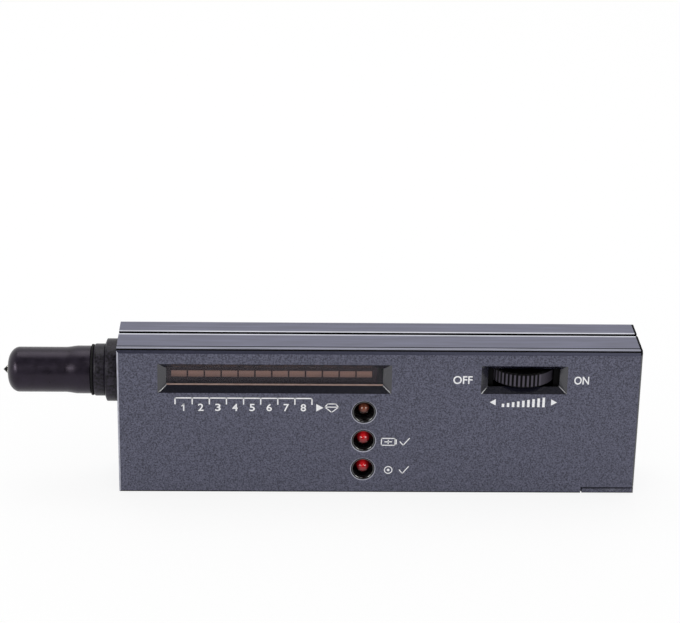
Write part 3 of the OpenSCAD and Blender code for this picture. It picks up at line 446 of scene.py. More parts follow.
def grained_abs(look):
    """ABS, moulded against an eroded face: a fine sparkling grain over slate grey."""
    material, tree, shader, place = new_material("abs_grained")
    # The real grain is about a tenth of a millimetre and is drawn coarser so that it shows
    grain = add(tree, "ShaderNodeTexNoise", {
        "Vector": place, "Scale": 1 / look.grain, "Detail": 2.0, "Roughness": 0.7})
    follow(
        tree, shader, grain, [(0.34, opaque(look.face_dark)), (0.66, opaque(look.face_light))],
        {"To Min": 0.5, "To Max": 0.7}, {"Strength": 0.8, "Distance": 0.03 * MM})
    return material


def smooth_abs(look):
    """ABS, moulded against a stoned face: slate grey with long faint flow marks; its paler bands at the front
    edge, along the crest and beside the seam are painted highlights.
    """
    material, tree, shader, place = new_material("abs_smooth")
    along = add(tree, "ShaderNodeMapping", {"Vector": place, "Scale": (0.1, 1.0, 1.0)})
    marks = add(tree, "ShaderNodeTexNoise", {"Vector": along, "Scale": 1 / (1.5 * MM), "Detail": 3.0})
    depth = add(tree, "ShaderNodeSeparateXYZ", {0: place}).outputs["Y"]
    share = add(tree, "ShaderNodeMapRange", {"Value": depth, "From Min": FRONT_Y, "From Max": BACK_Y})
    span = BACK_Y - FRONT_Y
    line = look.seam_highlight_w / span
    seam = (SEAM_Y - FRONT_Y) / span
    groove = 0.6 * MM / span
    crest = look.crest / span
    strip = (look.crest + look.shade_behind_gap) / span
    plain, pale, upper = opaque(look.side), opaque(look.seam_highlight), opaque(look.crest_highlight)
    # Paler bands painted as highlights at the front edge, along the crest and on both sides of the seam
    # groove
    bands = add(tree, "ShaderNodeValToRGB", {"Fac": share}, stops=[
        (crest * 0.4, opaque(look.front_highlight)), (crest * 0.7, upper), (strip, upper), (strip * 1.2, plain),
        (seam - groove - line, plain), (seam - groove - line / 2, pale),
        (seam + groove + line / 2, pale), (seam + groove + line, plain)])
    shade = add(tree, "ShaderNodeValToRGB", {"Fac": marks}, stops=[
        (0.3, (0.68, 0.68, 0.68, 1)), (0.7, (1, 1, 1, 1))])
    tone = add(tree, "ShaderNodeMix", {
        0: 1.0, COLOUR_A: bands, COLOUR_B: shade}, {"data_type": "RGBA", "blend_type": "MULTIPLY"})
    rough = add(tree, "ShaderNodeMapRange", {"Value": marks, "To Min": 0.48, "To Max": 0.62})
    feed(tree, shader, {"Base Color": tone, "Roughness": rough})
    return material


def polished_abs(look):
    """ABS, moulded against a polished face: near black, it mirrors the white room at its edges."""
    material, tree, shader, place = new_material("abs_polished")
    marks = add(tree, "ShaderNodeTexNoise", {"Vector": place, "Scale": 1 / (0.8 * MM), "Detail": 3.0})
    follow(
        tree, shader, marks, [(0.35, opaque(look.bevel, 0.85)), (0.65, opaque(look.bevel))],
        {"To Min": 0.14, "To Max": 0.22}, more={"Specular IOR Level": 0.9})
    return material


def satin_abs(look):
    """ABS, moulded against a blasted edge: dark grey and satin, with a cool, broad and grainy highlight."""
    material, tree, shader, place = new_material("abs_satin")
    grain = add(tree, "ShaderNodeTexNoise", {"Vector": place, "Scale": 1 / look.grain, "Detail": 2.0})
    follow(
        tree, shader, grain, [(0.35, opaque(look.chamfer, 0.8)), (0.65, opaque(look.chamfer))],
        {"To Min": 0.22, "To Max": 0.42}, {"Strength": 0.5, "Distance": 0.015 * MM},
        {"Specular Tint": srgb("d4d6f2")})
    return material


def painted_shade_abs():
    """Black, matt ABS laid on as painted shade: it darkens the inside of the hollow case and the shaded
    strips outside.
    """
    return toned(
        "abs_black_painted_shade", "040405", "09090b", 0.6 * MM, 0.7, 0.01 * MM, {"Specular IOR Level": 0.06})


def tinted_acrylic(look):
    """Acrylic sheet, cast and tinted: dark and clear with a polished face."""
    material, tree, shader, place = new_material("acrylic_tinted")
    haze = add(tree, "ShaderNodeTexNoise", {"Vector": place, "Scale": 1 / (6 * MM)})
    rough = add(tree, "ShaderNodeMapRange", {"Value": haze, "To Min": 0.02, "To Max": 0.06})
    feed(tree, shader, {
        "Base Color": opaque(look.pane_tint), "Roughness": rough,
        "Transmission Weight": 1.0, "IOR": 1.49, "Specular Tint": srgb("b2aebe")})
    return material


def segment_epoxy(look):
    """Epoxy, cast milky over the dies of the bar graph: matt, a little darker towards its lower edge."""
    material, tree, shader, place = new_material("epoxy_milky")
    low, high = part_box("bargraph_segments")
    height = add(tree, "ShaderNodeSeparateXYZ", {0: place}).outputs["Z"]
    share = add(tree, "ShaderNodeMapRange", {"Value": height, "From Min": low.z, "From Max": high.z})
    tone = add(tree, "ShaderNodeValToRGB", {"Fac": share}, stops=[
        (0.1, opaque(look.segment, 0.72)), (0.6, opaque(look.segment))])
    feed(tree, shader, {"Base Color": tone, "Roughness": 0.45})
    return material


def lamp_epoxy(name, centre, stops, glow):
    """Epoxy dome of a lamp, tinted red: the tones centre above the middle, where its die sits; on a lit lamp
    they glow strongest there, on the unlit lamp their pale ring is a painted highlight and their dark edge
    painted shade.
    """
    die_rise = 1.2 * MM
    reach = 2.4 * MM
    material, tree, shader, place = new_material(name)
    away = radial(tree, place, (1, 0, 1), (centre.x, 0, centre.z + die_rise))[1]
    share = add(tree, "ShaderNodeMapRange", {"Value": away, "From Min": 0.0, "From Max": reach})
    tone = add(
        tree, "ShaderNodeValToRGB", {"Fac": share},
        stops=[(level, srgb(code)) for level, code in stops])
    if glow:
        feed(tree, shader, {"Emission Color": tone})
    feed(tree, shader, {
        "Base Color": tone, "Roughness": 0.08, "IOR": 1.55,
        "Emission Strength": glow, "Specular IOR Level": 0.42})
    return material


def print_ink():
    """Screen ink, matt and slightly uneven, in plain white."""
    return toned("screen_ink_white", "e6e6ea", "ffffff", 0.3 * MM, 0.6)


def sleeve_vinyl():
    """Soft vinyl, dipped: near black, with a low gloss that wavers over its surface."""
    return toned("vinyl_dipped", "17131c", "1d1824", 2.5 * MM, 0.32, 0.05 * MM, {
        "Specular IOR Level": 0.29, "Specular Tint": srgb("f4e4fa")})


def collar_plastic():
    """Nylon, turned: near black and satin, with a mottle that breaks up its highlight."""
    return toned(
        "nylon_satin_black", "020103", "2e2936", 0.6 * MM, 0.4, 0.06 * MM, {"Specular IOR Level": 0.2})


def washer_rubber():
    """Rubber, stamped from sheet: black and dull."""
    return toned(
        "rubber_black", "080809", "0d0d0f", 0.4 * MM, 0.7, 0.02 * MM, {"Specular IOR Level": 0.15})


def cup_plastic():
    """Polystyrene, moulded glossy black, which mirrors the lamp and the room."""
    return toned(
        "polystyrene_gloss_black", "050506", "08080a", 1.5 * MM, 0.06, more={"Specular IOR Level": 1.0})


def wheel_plastic(look):
    """ABS, moulded black: paler paint on the rib tops is a painted highlight, near-black paint in the grooves
    is painted shade, and the highlight is dimmer on the smooth stretch.
    """
    material, tree, shader, place = new_material("abs_black_painted_rib_light")
    low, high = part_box("thumbwheel")
    centre = (low + high) / 2
    radius = (high.x - low.x) / 2
    toward, away = radial(tree, place, (1, 1, 0), (centre.x, centre.y, 0))
    share = add(tree, "ShaderNodeMapRange", {
        "Value": away, "From Min": radius - look.rib_depth, "From Max": radius})
    # Painted shade in the grooves, painted highlight on the rib tops
    tone = add(tree, "ShaderNodeValToRGB", {"Fac": share}, stops=[
        (0.8, opaque(look.groove)), (0.99, opaque(look.rib))])
    unit = add(tree, "ShaderNodeVectorMath", {0: toward}, {"operation": "NORMALIZE"})
    side = add(tree, "ShaderNodeVectorMath", {
        0: unit, 1: (math.sin(look.smooth_mid), -math.cos(look.smooth_mid), 0)}, {
        "operation": "DOT_PRODUCT"})
    start = math.cos(look.smooth_half)
    blur = 0.005
    dull = add(tree, "ShaderNodeValToRGB", {"Fac": side}, stops=[
        (start - blur, (1, 1, 1, 1)), (start + blur, (look.dull, look.dull, look.dull, 1))])
    # The painted rib highlight is dimmed on the smooth stretch
    rib_light = add(tree, "ShaderNodeMix", {
        0: 1.0, COLOUR_A: tone, COLOUR_B: dull}, {"data_type": "RGBA", "blend_type": "MULTIPLY"})
    marks = add(tree, "ShaderNodeTexNoise", {"Vector": place, "Scale": 1 / (0.4 * MM), "Detail": 2.0})
    rough = add(tree, "ShaderNodeMapRange", {"Value": marks, "To Min": 0.3, "To Max": 0.46})
    feed(tree, shader, {
        "Base Color": rib_light, "Roughness": rough,
        "Specular IOR Level": 0.1})
    return material


def tip_copper(look):
    """Copper alloy, turned and plated: the rod is bright, the cone is darkened by heat."""
    low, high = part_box("probe_tip")
    cone = look.tip_cone / (high.x - low.x)
    return banded("copper_heat_darkened", "probe_tip", "X", [
        (0.0, "0d0b0a"), (cone, "c8c4bc")], {"Metallic": 1.0})


def black_resin():
    """Epoxy resin, moulded round chips and housings: dull black."""
    return toned("resin_dull_black", "111113", "1a1a1d", 0.3 * MM, 0.5, 0.01 * MM)


def highlight_bead():
    """Cement along the pane; its pale brownish tone is a painted highlight along the pane's lower edge."""
    return toned("bead_painted_highlight", "93786f", "a88d83", 0.8 * MM, 0.5)


def zinc_steel():
    """Steel, cold headed and zinc plated: pale grey with a fine frost."""
    return toned("steel_zinc_plated", "9a9ca2", "bfc1c6", 0.5 * MM, 0.34, 0.01 * MM, {"Metallic": 1.0})


def spring_steel():
    """Spring steel, drawn wire: dark grey and smooth."""
    return toned("steel_drawn_wire", "6e7076", "8c8e94", 0.4 * MM, 0.3, more={"Metallic": 1.0})


def tinned_copper():
    """Copper, dipped in tin: silvery and a little uneven."""
    return toned("copper_tinned", "b4b4b6", "d2d2d4", 0.4 * MM, 0.32, 0.01 * MM, {"Metallic": 1.0})


def nickel_plate():
    """Steel, pressed and nickel plated: warm silver with a clear mirror."""
    return toned("steel_nickel_plated", "b9b6ae", "cfccc4", 1.0 * MM, 0.18, more={"Metallic": 1.0})


def natural_acetal():
    """Acetal, turned: milky white with a soft gloss and fine turning marks."""
    return toned("acetal_turned", "d6d3c9", "e6e3da", 0.6 * MM, 0.42, 0.01 * MM)


def brown_phenolic():
    """Phenolic paper, pressed and punched: warm brown with a fibrous mottle."""
    return toned("phenolic_paper", "4a2c1c", "5e3a26", 0.5 * MM, 0.5, 0.01 * MM)


def lead_cover(name, dark, light):
    """Vinyl, extruded over a lead: smooth with a soft gloss."""
    return toned(name, dark, light, 1.5 * MM, 0.35, 0.01 * MM)


def bead_ceramic():
    """Steatite, fired and glazed: ivory with a wet gloss."""
    return toned("steatite_glazed", "cfc9bb", "ded8cb", 0.8 * MM, 0.25)


def board_laminate():
    """Glass-cloth laminate under green lacquer: the weave shows faintly through the gloss."""
    material, tree, shader, place = new_material("laminate_green_lacquer")
    weave = 0.8 * MM
    # The wave texture turns by 20 radians for each unit of its scale
    scale = math.tau / (20 * weave)
    warp, weft = [add(tree, "ShaderNodeTexWave", {"Vector": place, "Scale": scale}, {
        "bands_direction": axis}).outputs["Fac"] for axis in ("X", "Z")]
    cloth = add(tree, "ShaderNodeMath", {0: warp, 1: weft}, {"operation": "MULTIPLY"})
    tone = add(tree, "ShaderNodeValToRGB", {"Fac": cloth}, stops=[
        (0.0, srgb("17482b")), (1.0, srgb("23603b"))])
    bump = add(tree, "ShaderNodeBump", {"Strength": 0.4, "Distance": 0.02 * MM, "Height": cloth})
    feed(tree, shader, {
        "Base Color": tone, "Normal": bump,
        "Roughness": 0.28, "Coat Weight": 0.3})
    return material


def resistor_lacquer():
    """Lacquer, dipped over a carbon film: sand colour with four rings of colour."""
    sand = "b99a6a"
    return banded("lacquer_sand_ringed", "resistors", "Z", [
        (0.0, sand), (0.36, "6b3a1c"), (0.41, sand), (0.45, "1a1a1a"), (0.50, sand),
        (0.54, "a02318"), (0.59, sand), (0.64, "9c7a2a"), (0.68, sand)], {"Coat Weight": 0.3})


def capacitor_cover():
    """Vinyl, shrunk over an aluminium can: deep blue, with the bare can at its top."""
    return banded("vinyl_blue_shrunk", "capacitors", "Y", [(0.0, "b8babd"), (0.04, "1c2544")], {})


def battery_wrap():
    """Steel can, printed: graphite with one copper band at the end of its terminals."""
    return banded("steel_can_printed", "battery", "X", [
        (0.0, "b4b2ae"), (0.03, "8a5a34"), (0.22, "2a2b2f"), (0.975, "b4b2ae")], {"Coat Weight": 0.4})


# Pieces

def on_outline(place):
    """True near the outer edges of the case."""
    band = 1.3 * MM
    return (
        place.x < LEFT_X + band or place.x > RIGHT_X - band
        or place.z < band or place.z > TOP_Z - band)


def on_face(place):
    """True near the front or back face, away from the outer edges."""
    band = 2.1 * MM
    return not on_outline(place) and (place.y < FRONT_Y + band or place.y > BACK_Y - band)


def shade_strips(look):
    """Places along Y where the painted shade lines below and behind the crest start and end."""
    crest = FRONT_Y + look.crest
    below = crest - look.shade_below_gap
    behind = crest + look.shade_behind_gap
    return (below - look.shade_below, below), (behind, behind + look.shade_behind)


class TESTER_OT_case(bpy.types.Operator):
    """Makes the two shells and the battery door with rounded edges"""

    bl_idname = "tester.case"
    bl_label = "Case"

    def execute(self, context):
        look = context.scene.tester_case
        finishes = [grained_abs(look), smooth_abs(look), polished_abs(look), satin_abs(look), painted_shade_abs()]
        # The shells' insides take the black painted shade; the door's inside keeps its grain
        for node, name, body, inside in (
                ("front_shell", "front_case", "case", PAINTED_SHADE),
                ("rear_shell", "rear_case", "case", PAINTED_SHADE),
                ("battery_door", "door_cover", "door", GRAINED)):
            bm = cad_copy(node)
            self.cut_shade_strips(bm, look)
            soften(bm, look.edge, segments=3, wanted=on_outline)
            self.round_mitres(bm, look.mitre)
            soften(bm, look.rim, segments=2, wanted=on_face)
            self.choose_finishes(bm, look, inside)
            make_piece(name, bm, finishes, body, (node,), even=True)
        return {"FINISHED"}

    @staticmethod
    def cut_shade_strips(bm, look):
        """Cuts the narrow strips for the painted shade lines from the upper chamfer and the top, and the
        strip at the right end of the top.
        """
        upward = 0.5
        cuts = [((0, y, 0), (0, 1, 0)) for line in shade_strips(look) for y in line]
        cuts.append(((RIGHT_X - look.end_shade, 0, 0), (1, 0, 0)))
        for place, across in cuts:
            upper = [
                f for f in bm.faces
                if f.normal.z > upward and min(v.co.z for v in f.verts) > TOP_Z - 2 * look.crest]
            parts = {part for face in upper for part in (face, *face.edges, *face.verts)}
            bmesh.ops.bisect_plane(bm, geom=list(parts), dist=MERGE, plane_co=place, plane_no=across)

    @staticmethod
    def round_mitres(bm, width):
        """Rounds the hollow corners where two bevels of a recess meet."""
        facing = 0.3
        corners = [
            e for e in bm.edges
            if all(on_face(v.co) for v in e.verts) and not e.is_convex
            and abs(e.verts[0].co.y - e.verts[1].co.y) > width
            and all(abs(f.normal.y) > facing for f in e.link_faces)]
        rounded(bm, corners, width, segments=4)

    @staticmethod
    def choose_finishes(bm, look, inside):
        """Grained front and back, smooth sides, satin outer edges, polished recesses; black painted shade
        inside, along the grip, under the lower front edge, at the right end and on the strips by the crest,
        and painted highlights from the smooth finish's pale bands. Flats are set true.
        """
        near = 0.05 * MM
        skin = 0.35 * MM
        edge = 1.4 * MM
        front_wall = 1.9 * MM
        back_wall = 0.9 * MM
        # Least shares of a normal along an axis
        slight, leaning, steep, upright, square = 0.2, 0.3, 0.4, 0.9, 0.999
        lines = shade_strips(look)
        holes = [middle(node) for node in ("upper_lamp", "middle_lamp", "lower_lamp")]
        planes = (
            ("y", -1, FRONT_Y, GRAINED), ("y", 1, BACK_Y, GRAINED), ("x", -1, LEFT_X, SMOOTH),
            ("x", 1, RIGHT_X, SMOOTH), ("z", -1, 0.0, SMOOTH), ("z", 1, TOP_Z, SMOOTH))
        for face in bm.faces:
            spot = face.calc_center_median()
            normal = face.normal
            at_end = spot.y < FRONT_Y + edge or spot.y > BACK_Y - edge
            at_hole = spot.y < FRONT_Y + edge / 4 and any(
                math.hypot(spot.x - hole.x, spot.z - hole.z) < 3 * edge for hole in holes)
            inner = FRONT_Y + front_wall < spot.y < BACK_Y - back_wall
            at_grip = spot.z < 2 * edge and abs(spot.x) < RIGHT_X - edge
            # Faces inside take the inside finish, black painted shade on the shells; the low strip along the
            # grip takes painted shade too; the rest starts polished
            finish = inside if inner else PAINTED_SHADE if at_grip else POLISHED
            at_side = min(spot.x - LEFT_X, RIGHT_X - spot.x) < skin
            # At the right end the strips along the top and base edges get painted shade, at the left end the
            # smooth finish
            if at_side and min(spot.z, TOP_Z - spot.z) < skin:
                finish = SMOOTH if spot.x < 0 else PAINTED_SHADE
            if on_outline(spot) and at_end:
                finish = SATIN
            # The crest takes the smooth finish for its pale band there, a painted highlight
            at_crest = normal.z > leaning and spot.z > TOP_Z - edge
            if at_crest and spot.y > FRONT_Y + look.crest - look.shade_below_gap:
                finish = SMOOTH
            # The chamfer under the front's lower edge gets painted shade
            if normal.y < -leaning and normal.z < -leaning and spot.z < edge:
                finish = PAINTED_SHADE
            # Hole rims and the left vertical chamfer take the smooth finish for its pale front band, a
            # painted highlight
            if at_hole or (normal.x < -steep and normal.y < -slight and spot.x < LEFT_X + edge):
                finish = SMOOTH
            # The right vertical chamfer takes the near-black polished finish as painted shade
            if normal.x > steep and normal.y < -slight and spot.x > RIGHT_X - edge:
                finish = POLISHED
            for axis, side, level, plane_finish in planes:
                flat = getattr(normal, axis) * side > square
                off = max(abs(getattr(v.co, axis) - level) for v in face.verts)
                if flat and off < skin:
                    finish = plane_finish
                if flat and off < near:
                    for v in face.verts:
                        setattr(v.co, axis, level)
            # The upright ends of the grip grooves get painted shade
            if at_grip and abs(normal.x) > upright:
                finish = PAINTED_SHADE
            # The cut strips below and behind the crest and at the right end of the top get painted shade
            at_line = any(low < spot.y < high for low, high in lines)
            if at_crest and (at_line or spot.x > RIGHT_X - look.end_shade):
                finish = PAINTED_SHADE
            face.material_index = finish


class TESTER_OT_display(bpy.types.Operator):
    """Makes the pane with its cement bead and finishes the bar graph"""

    bl_idname = "tester.display"
    bl_label = "Display"

    def execute(self, context):
        look = context.scene.tester_display
        bm = cad_copy("display_pane")
        soften(bm, look.pane_edge, segments=2)
        make_piece(
            "window_pane", bm, tinted_acrylic(look), "case", ("display_pane",), even=True)
        # The bead's pale brownish colour is a painted highlight along the pane's lower edge
        make_piece("pane_bead", self.bead(look), highlight_bead(), "case")
        paint(segment_epoxy(look), "bargraph_segments")
        return {"FINISHED"}

    @staticmethod
    def bead(look):
        """Bead of cement along the lower edge of the visible glass, in front of the pane."""
        low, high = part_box("display_pane")
        foot = low.z + look.pane_hidden
        centre = ((low.x + high.x) / 2, low.y - look.bead_depth / 2, foot + look.bead_height / 2)
        size = (high.x - low.x - 2 * look.pane_hidden, look.bead_depth, look.bead_height, 1)
        bm = bmesh.new()
        bmesh.ops.create_cube(bm, size=1.0, matrix=Matrix.Translation(centre) @ Matrix.Diagonal(size))
        soften(bm, look.bead_depth / 3, segments=3)
        return bm


class TESTER_OT_lamps(bpy.types.Operator):
    """Makes the lamp domes and their cups"""

    bl_idname = "tester.lamps"
    bl_label = "Lamps"

    def execute(self, context):
        look = context.scene.tester_lamps
        # Tones from the die outwards
        lit = [(0.2, "ba161d"), (0.4, "7c0c12"), (0.55, "740a10"), (0.8, "50070b"), (1.0, "100102")]
        # The unlit lamp's pale ring is a painted highlight and its darkening towards the edge painted shade
        off = [(0.0, "5a2a1e"), (0.2, "96563f"), (0.5, "6a3224"), (0.8, "1e0c09")]
        cups = bmesh.new()
        for node, stops, glow, slot in (
                ("upper_lamp", off, 0.0, "lamp_off"),
                ("middle_lamp", lit, look.glow, "lamp_lit"),
                ("lower_lamp", lit, look.glow, "lamp_lit")):
            low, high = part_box(node)
            centre = Vector(((low.x + high.x) / 2, 0, (low.z + high.z) / 2))
            epoxy = lamp_epoxy("epoxy_" + node, centre, stops, glow)
            dome = self.dome(look, centre, low.y, high.y, (high.x - low.x) / 2)
            make_piece(node + "_dome", dome, epoxy, "case", (node,))
            join(cups, self.cup(look, centre))
        make_piece("lamp_bowls", cups, cup_plastic(), "case", ("lamp_cups",))
        return {"FINISHED"}

    @staticmethod
    def dome(look, centre, y0, y1, flange):
        """Lamp with a round dome and a flange at its base."""
        r = look.lamp_d / 2
        outline = arc((0, y0 + r), (r, -r), 0, 90, count=20)
        step = y1 - look.flange_t
        outline += [(r, step), (flange, step), (flange, y1), (0, y1)]
        return turned(outline, centre, (0, 1, 0))

    @staticmethod
    def cup(look, centre):
        """Cup with a rounded lip and a steep funnel, a flange behind the face and a tube round the lamp."""
        low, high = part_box("lamp_cups")
        flange = (high.x - low.x) / 2
        rim = look.cup_d / 2
        tube = look.lamp_d / 2 + look.gap
        outside = rim - look.gap / 2
        tube_outside = tube + look.tube_wall
        behind = FRONT_Y + look.face_wall
        mouth = low.y
        lip = arc((rim - look.rim, mouth + look.lip), (-look.lip, -look.lip), 60, 0, count=12)
        outline = [
            (tube, mouth + look.funnel), *lip, (outside, mouth + look.rim), (outside, behind),
            (flange, behind), (flange, behind + look.flange_t), (tube_outside, behind + look.flange_t),
            (tube_outside, high.y), (tube, high.y)]
        return turned(outline, centre, (0, 1, 0), closed=True)


class TESTER_OT_wheel(bpy.types.Operator):
    """Makes the ribbed thumbwheel"""

    bl_idname = "tester.wheel"
    bl_label = "Thumbwheel"

    def execute(self, context):
        finish = wheel_plastic(context.scene.tester_wheel)
        make_piece(
            "ribbed_wheel", cad_copy("thumbwheel"), finish, "wheel", ("thumbwheel",),
            even=True)
        return {"FINISHED"}


class TESTER_OT_probe(bpy.types.Operator):
    """Makes the sleeve, the collar, the ring and the washer of the probe, and finishes its tip"""

    bl_idname = "tester.probe"
    bl_label = "Probe"

    def execute(self, context):
        look = context.scene.tester_probe
        nylon = collar_plastic()
        low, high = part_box("probe_sleeve")
        self.centre = Vector((0, (low.y + high.y) / 2, (low.z + high.z) / 2))
        make_piece(
            "soft_sleeve", self.sleeve(look, low.x, high.x, (high.z - low.z) / 2), sleeve_vinyl(),
            "sleeve", ("probe_sleeve",), sharp=50)
        for node, name, slope, rounding, finish, slot in (
                ("probe_collar", "end_collar", look.collar_slope, look.edge, nylon, "collar_plastic"),
                ("probe_ring", "end_ring", look.ring_edge, look.edge, nylon, "collar_plastic"),
                ("probe_washer", "thin_washer", 0.0, look.washer_edge, washer_rubber(), "black_rubber")):
            make_piece(name, self.ring(node, look, slope, rounding), finish, "case", (node,))
        paint(tip_copper(look), "probe_tip")
        return {"FINISHED"}

    def ring(self, node, look, slope, rounding):
        """Turned ring, its outer edge towards the tip sloped where a slope is given."""
        low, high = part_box(node)
        r = (high.z - low.z) / 2
        bore = look.bore / 2
        edge = [(r - slope, low.x), (r, low.x + look.slope_l)] if slope else [(r, low.x)]
        outline = [(bore, low.x), *edge, (r, high.x), (bore, high.x)]
        return turned(outline, self.centre, (1, 0, 0), closed=True, rounding=rounding)

    def sleeve(self, look, x0, x1, root):
        """Soft sleeve: rounded nose with a hole, straight body, flare and stretched root."""
        r = look.sleeve_d / 2
        wall = look.sleeve_wall
        hole = look.tip_d / 2 + look.tip_gap
        flare_x = x1 - look.root_l - look.flare_l

        def flare(r0, r1, count=12):
            steps = [i / count for i in range(count + 1)]
            return [(r0 + (r1 - r0) * t * t * (3 - 2 * t), flare_x + look.flare_l * t) for t in steps]

        nose = arc((r - look.nose_r, x0 + look.nose_l), (look.nose_r, -look.nose_l), 0, 90, count=16)
        lip = arc((root - look.edge, x1 - look.edge), (look.edge, look.edge), 90, 0, count=4)
        outside = [(hole, x0), *nose, *flare(r, root), *lip]
        inside = [
            (root - wall, x1), *reversed(flare(r - wall, root - wall)),
            (r - wall, x0 + look.nose_wall), (hole, x0 + look.nose_wall)]
        return turned(outside + inside, self.centre, (1, 0, 0), closed=True)


class TESTER_OT_print(bpy.types.Operator):
    """Prints the scale, the digits, the switch words and plain signs on the front face"""

    bl_idname = "tester.print"
    bl_label = "Print"

    def execute(self, context):
        self.look = context.scene.tester_print
        ink = print_ink()
        for name, draw in (
                ("scale_print", self.scale), ("switch_print", self.switch), ("lamp_print", self.lamp_signs)):
            self.bm = bmesh.new()
            draw(self.look)
            make_piece(name, self.bm, ink, "case")
        return {"FINISHED"}

    def scale(self, look):
        """Line with ticks and one digit in each interval, a pointer and a gem sign."""
        x, z, step, count = look.scale_x, look.scale_z, look.scale_step, look.scale_count
        end = x + step * count
        row = z - look.digit_drop
        self.path(look.stroke, (x, z), (end, z))
        for i in range(count + 1):
            self.path(look.stroke, (x + step * i, z), (x + step * i, z - look.tick))
        self.one(look, x + step / 2, row)
        for i in range(1, count):
            self.letters(str(i + 1), (x + step * (i + 0.5), row), look.digit_w, look.digit_h)
        pointer_x = end + look.pointer_gap
        self.disc(pointer_x, row, look.pointer, corners=3, side=1)
        self.gem(look, pointer_x + look.gem_gap, row)

    def switch(self, look):
        """Words at both ends of the thumbwheel and a rising row of bars between two pointers."""
        wheel = middle("thumbwheel")
        self.letters("OFF", (wheel.x - look.off_gap, wheel.z), look.off_w, look.word_h)
        self.letters("ON", (wheel.x + look.on_gap, wheel.z), look.on_w, look.word_h)
        z = wheel.z - look.level_drop
        foot = z - look.bar_high / 2
        for side in (-1, 1):
            self.disc(wheel.x + side * look.level_reach, z, look.level_pointer, corners=3, side=side)
        for i in range(look.bars):
            x = wheel.x + look.bar_step * (i - (look.bars - 1) / 2)
            height = look.bar_low + (look.bar_high - look.bar_low) * i / (look.bars - 1)
            self.path(look.bar, (x, foot), (x, foot + height))

    def lamp_signs(self, look):
        """Battery sign and ring sign, each with a tick, beside the two lower lamps."""
        half = look.sign_h / 2
        for node, sign in (("middle_lamp", self.battery), ("lower_lamp", self.ring)):
            lamp = middle(node)
            x = lamp.x + look.sign_gap
            z = lamp.z - look.sign_drop
            sign(look, x, z)
            start = x + look.sign_w + look.sign_space
            foot = start + half * 0.8
            end = start + half * 2.4
            self.path(look.fine, (start, z), (foot, z - half), (end, z + half))

    def battery(self, look, x, z):
        """Outline of a battery with its terminal and a plus."""
        w = look.sign_w - look.fine * 1.5
        half = look.sign_h / 2
        low, high = z - half / 2, z + half / 2
        corner = (x, z - half)
        self.path(look.fine, corner, (x + w, z - half), (x + w, z + half), (x, z + half), corner)
        terminal = x + w + look.fine
        self.path(look.fine * 1.6, (terminal, low), (terminal, high))
        self.path(look.fine, (x + w * 0.25, z), (x + w * 0.75, z))
        self.path(look.fine, (x + w / 2, low), (x + w / 2, high))

    def ring(self, look, x, z):
        """Ring that stands for readiness, with a dot in its middle."""
        centre = Vector((x + look.sign_w / 2, FRONT_Y, z))
        outer = look.sign_h / 2 + look.fine / 2
        inner = outer - look.fine
        film = look.film
        outline = [(inner, -film), (outer, -film), (outer, film), (inner, film)]
        join(self.bm, turned(outline, centre, (0, 1, 0), closed=True, steps=48))
        self.disc(centre.x, z, look.fine * 1.4, corners=24)

    def gem(self, look, x, z):
        """Outline of a cut gem, in shares of its half width."""
        size = look.gem
        top = z + size * 0.62
        girdle = z + size * 0.12
        low = z - size * 0.72
        table = size * 0.55
        left, right, start = (x - size, girdle), (x + size, girdle), (x - table, top)
        self.path(look.fine, start, (x + table, top), right, (x, low), left, start)
        self.path(look.fine, left, right)

    def one(self, look, x, z):
        """Digit 1 with a thinner flag."""
        half = (look.digit_h - look.stroke) / 2
        flag_end = (x - look.digit_w / 3, z + half * 0.4)
        self.path(look.stroke, (x, z - half), (x, z + half))
        self.path(look.stroke * 0.8, (x, z + half), flag_end)

    def path(self, width, *points):
        """Straight strokes from point to point, square beyond their ends by half their width."""
        for (x0, z0), (x1, z1) in zip(points, points[1:]):
            reach = math.hypot(x1 - x0, z1 - z0) + width
            place = (
                Matrix.Translation(((x0 + x1) / 2, FRONT_Y, (z0 + z1) / 2))
                @ Matrix.Rotation(-math.atan2(z1 - z0, x1 - x0), 4, "Y")
                @ Matrix.Diagonal((reach, 2 * self.look.film, width, 1)))
            bmesh.ops.create_cube(self.bm, size=1.0, matrix=place)

    def disc(self, x, z, radius, corners, side=0):
        """Round dot, or with three corners a triangle that points right for side 1 and left for side -1."""
        place = (
            Matrix.Translation((x, FRONT_Y, z)) @ Matrix.Rotation(side * math.pi / 2, 4, "Y")
            @ Matrix.Rotation(math.pi / 2, 4, "X"))
        bmesh.ops.create_cone(
            self.bm, cap_ends=True, segments=corners, radius1=radius, radius2=radius,
            depth=2 * self.look.film, matrix=place)

    def letters(self, words, centre, width, height):
        """Upright letters or digits, fitted to a box on the front face."""
        capital = 0.7
        curve = bpy.data.curves.new("letters", "FONT")
        curve.body = words
        curve.size = height / capital
        curve.offset = self.look.bold
        curve.extrude = self.look.film
        curve.resolution_u = 6
        text = bpy.data.objects.new("letters", curve)
        bpy.context.scene.collection.objects.link(text)
        graph = bpy.context.evaluated_depsgraph_get()
        mesh = bpy.data.meshes.new_from_object(text.evaluated_get(graph))
        xs = [v.co.x for v in mesh.vertices]
        ys = [v.co.y for v in mesh.vertices]
        mesh.transform(
            Matrix.Translation((centre[0], FRONT_Y, centre[1])) @ Matrix.Rotation(math.pi / 2, 4, "X")
            @ Matrix.Diagonal((width / (max(xs) - min(xs)), height / (max(ys) - min(ys)), 1, 1))
            @ Matrix.Translation((-(min(xs) + max(xs)) / 2, -(min(ys) + max(ys)) / 2, 0)))
        self.bm.from_mesh(mesh)
        bpy.data.objects.remove(text)
        bpy.data.curves.remove(curve)
        bpy.data.meshes.remove(mesh)


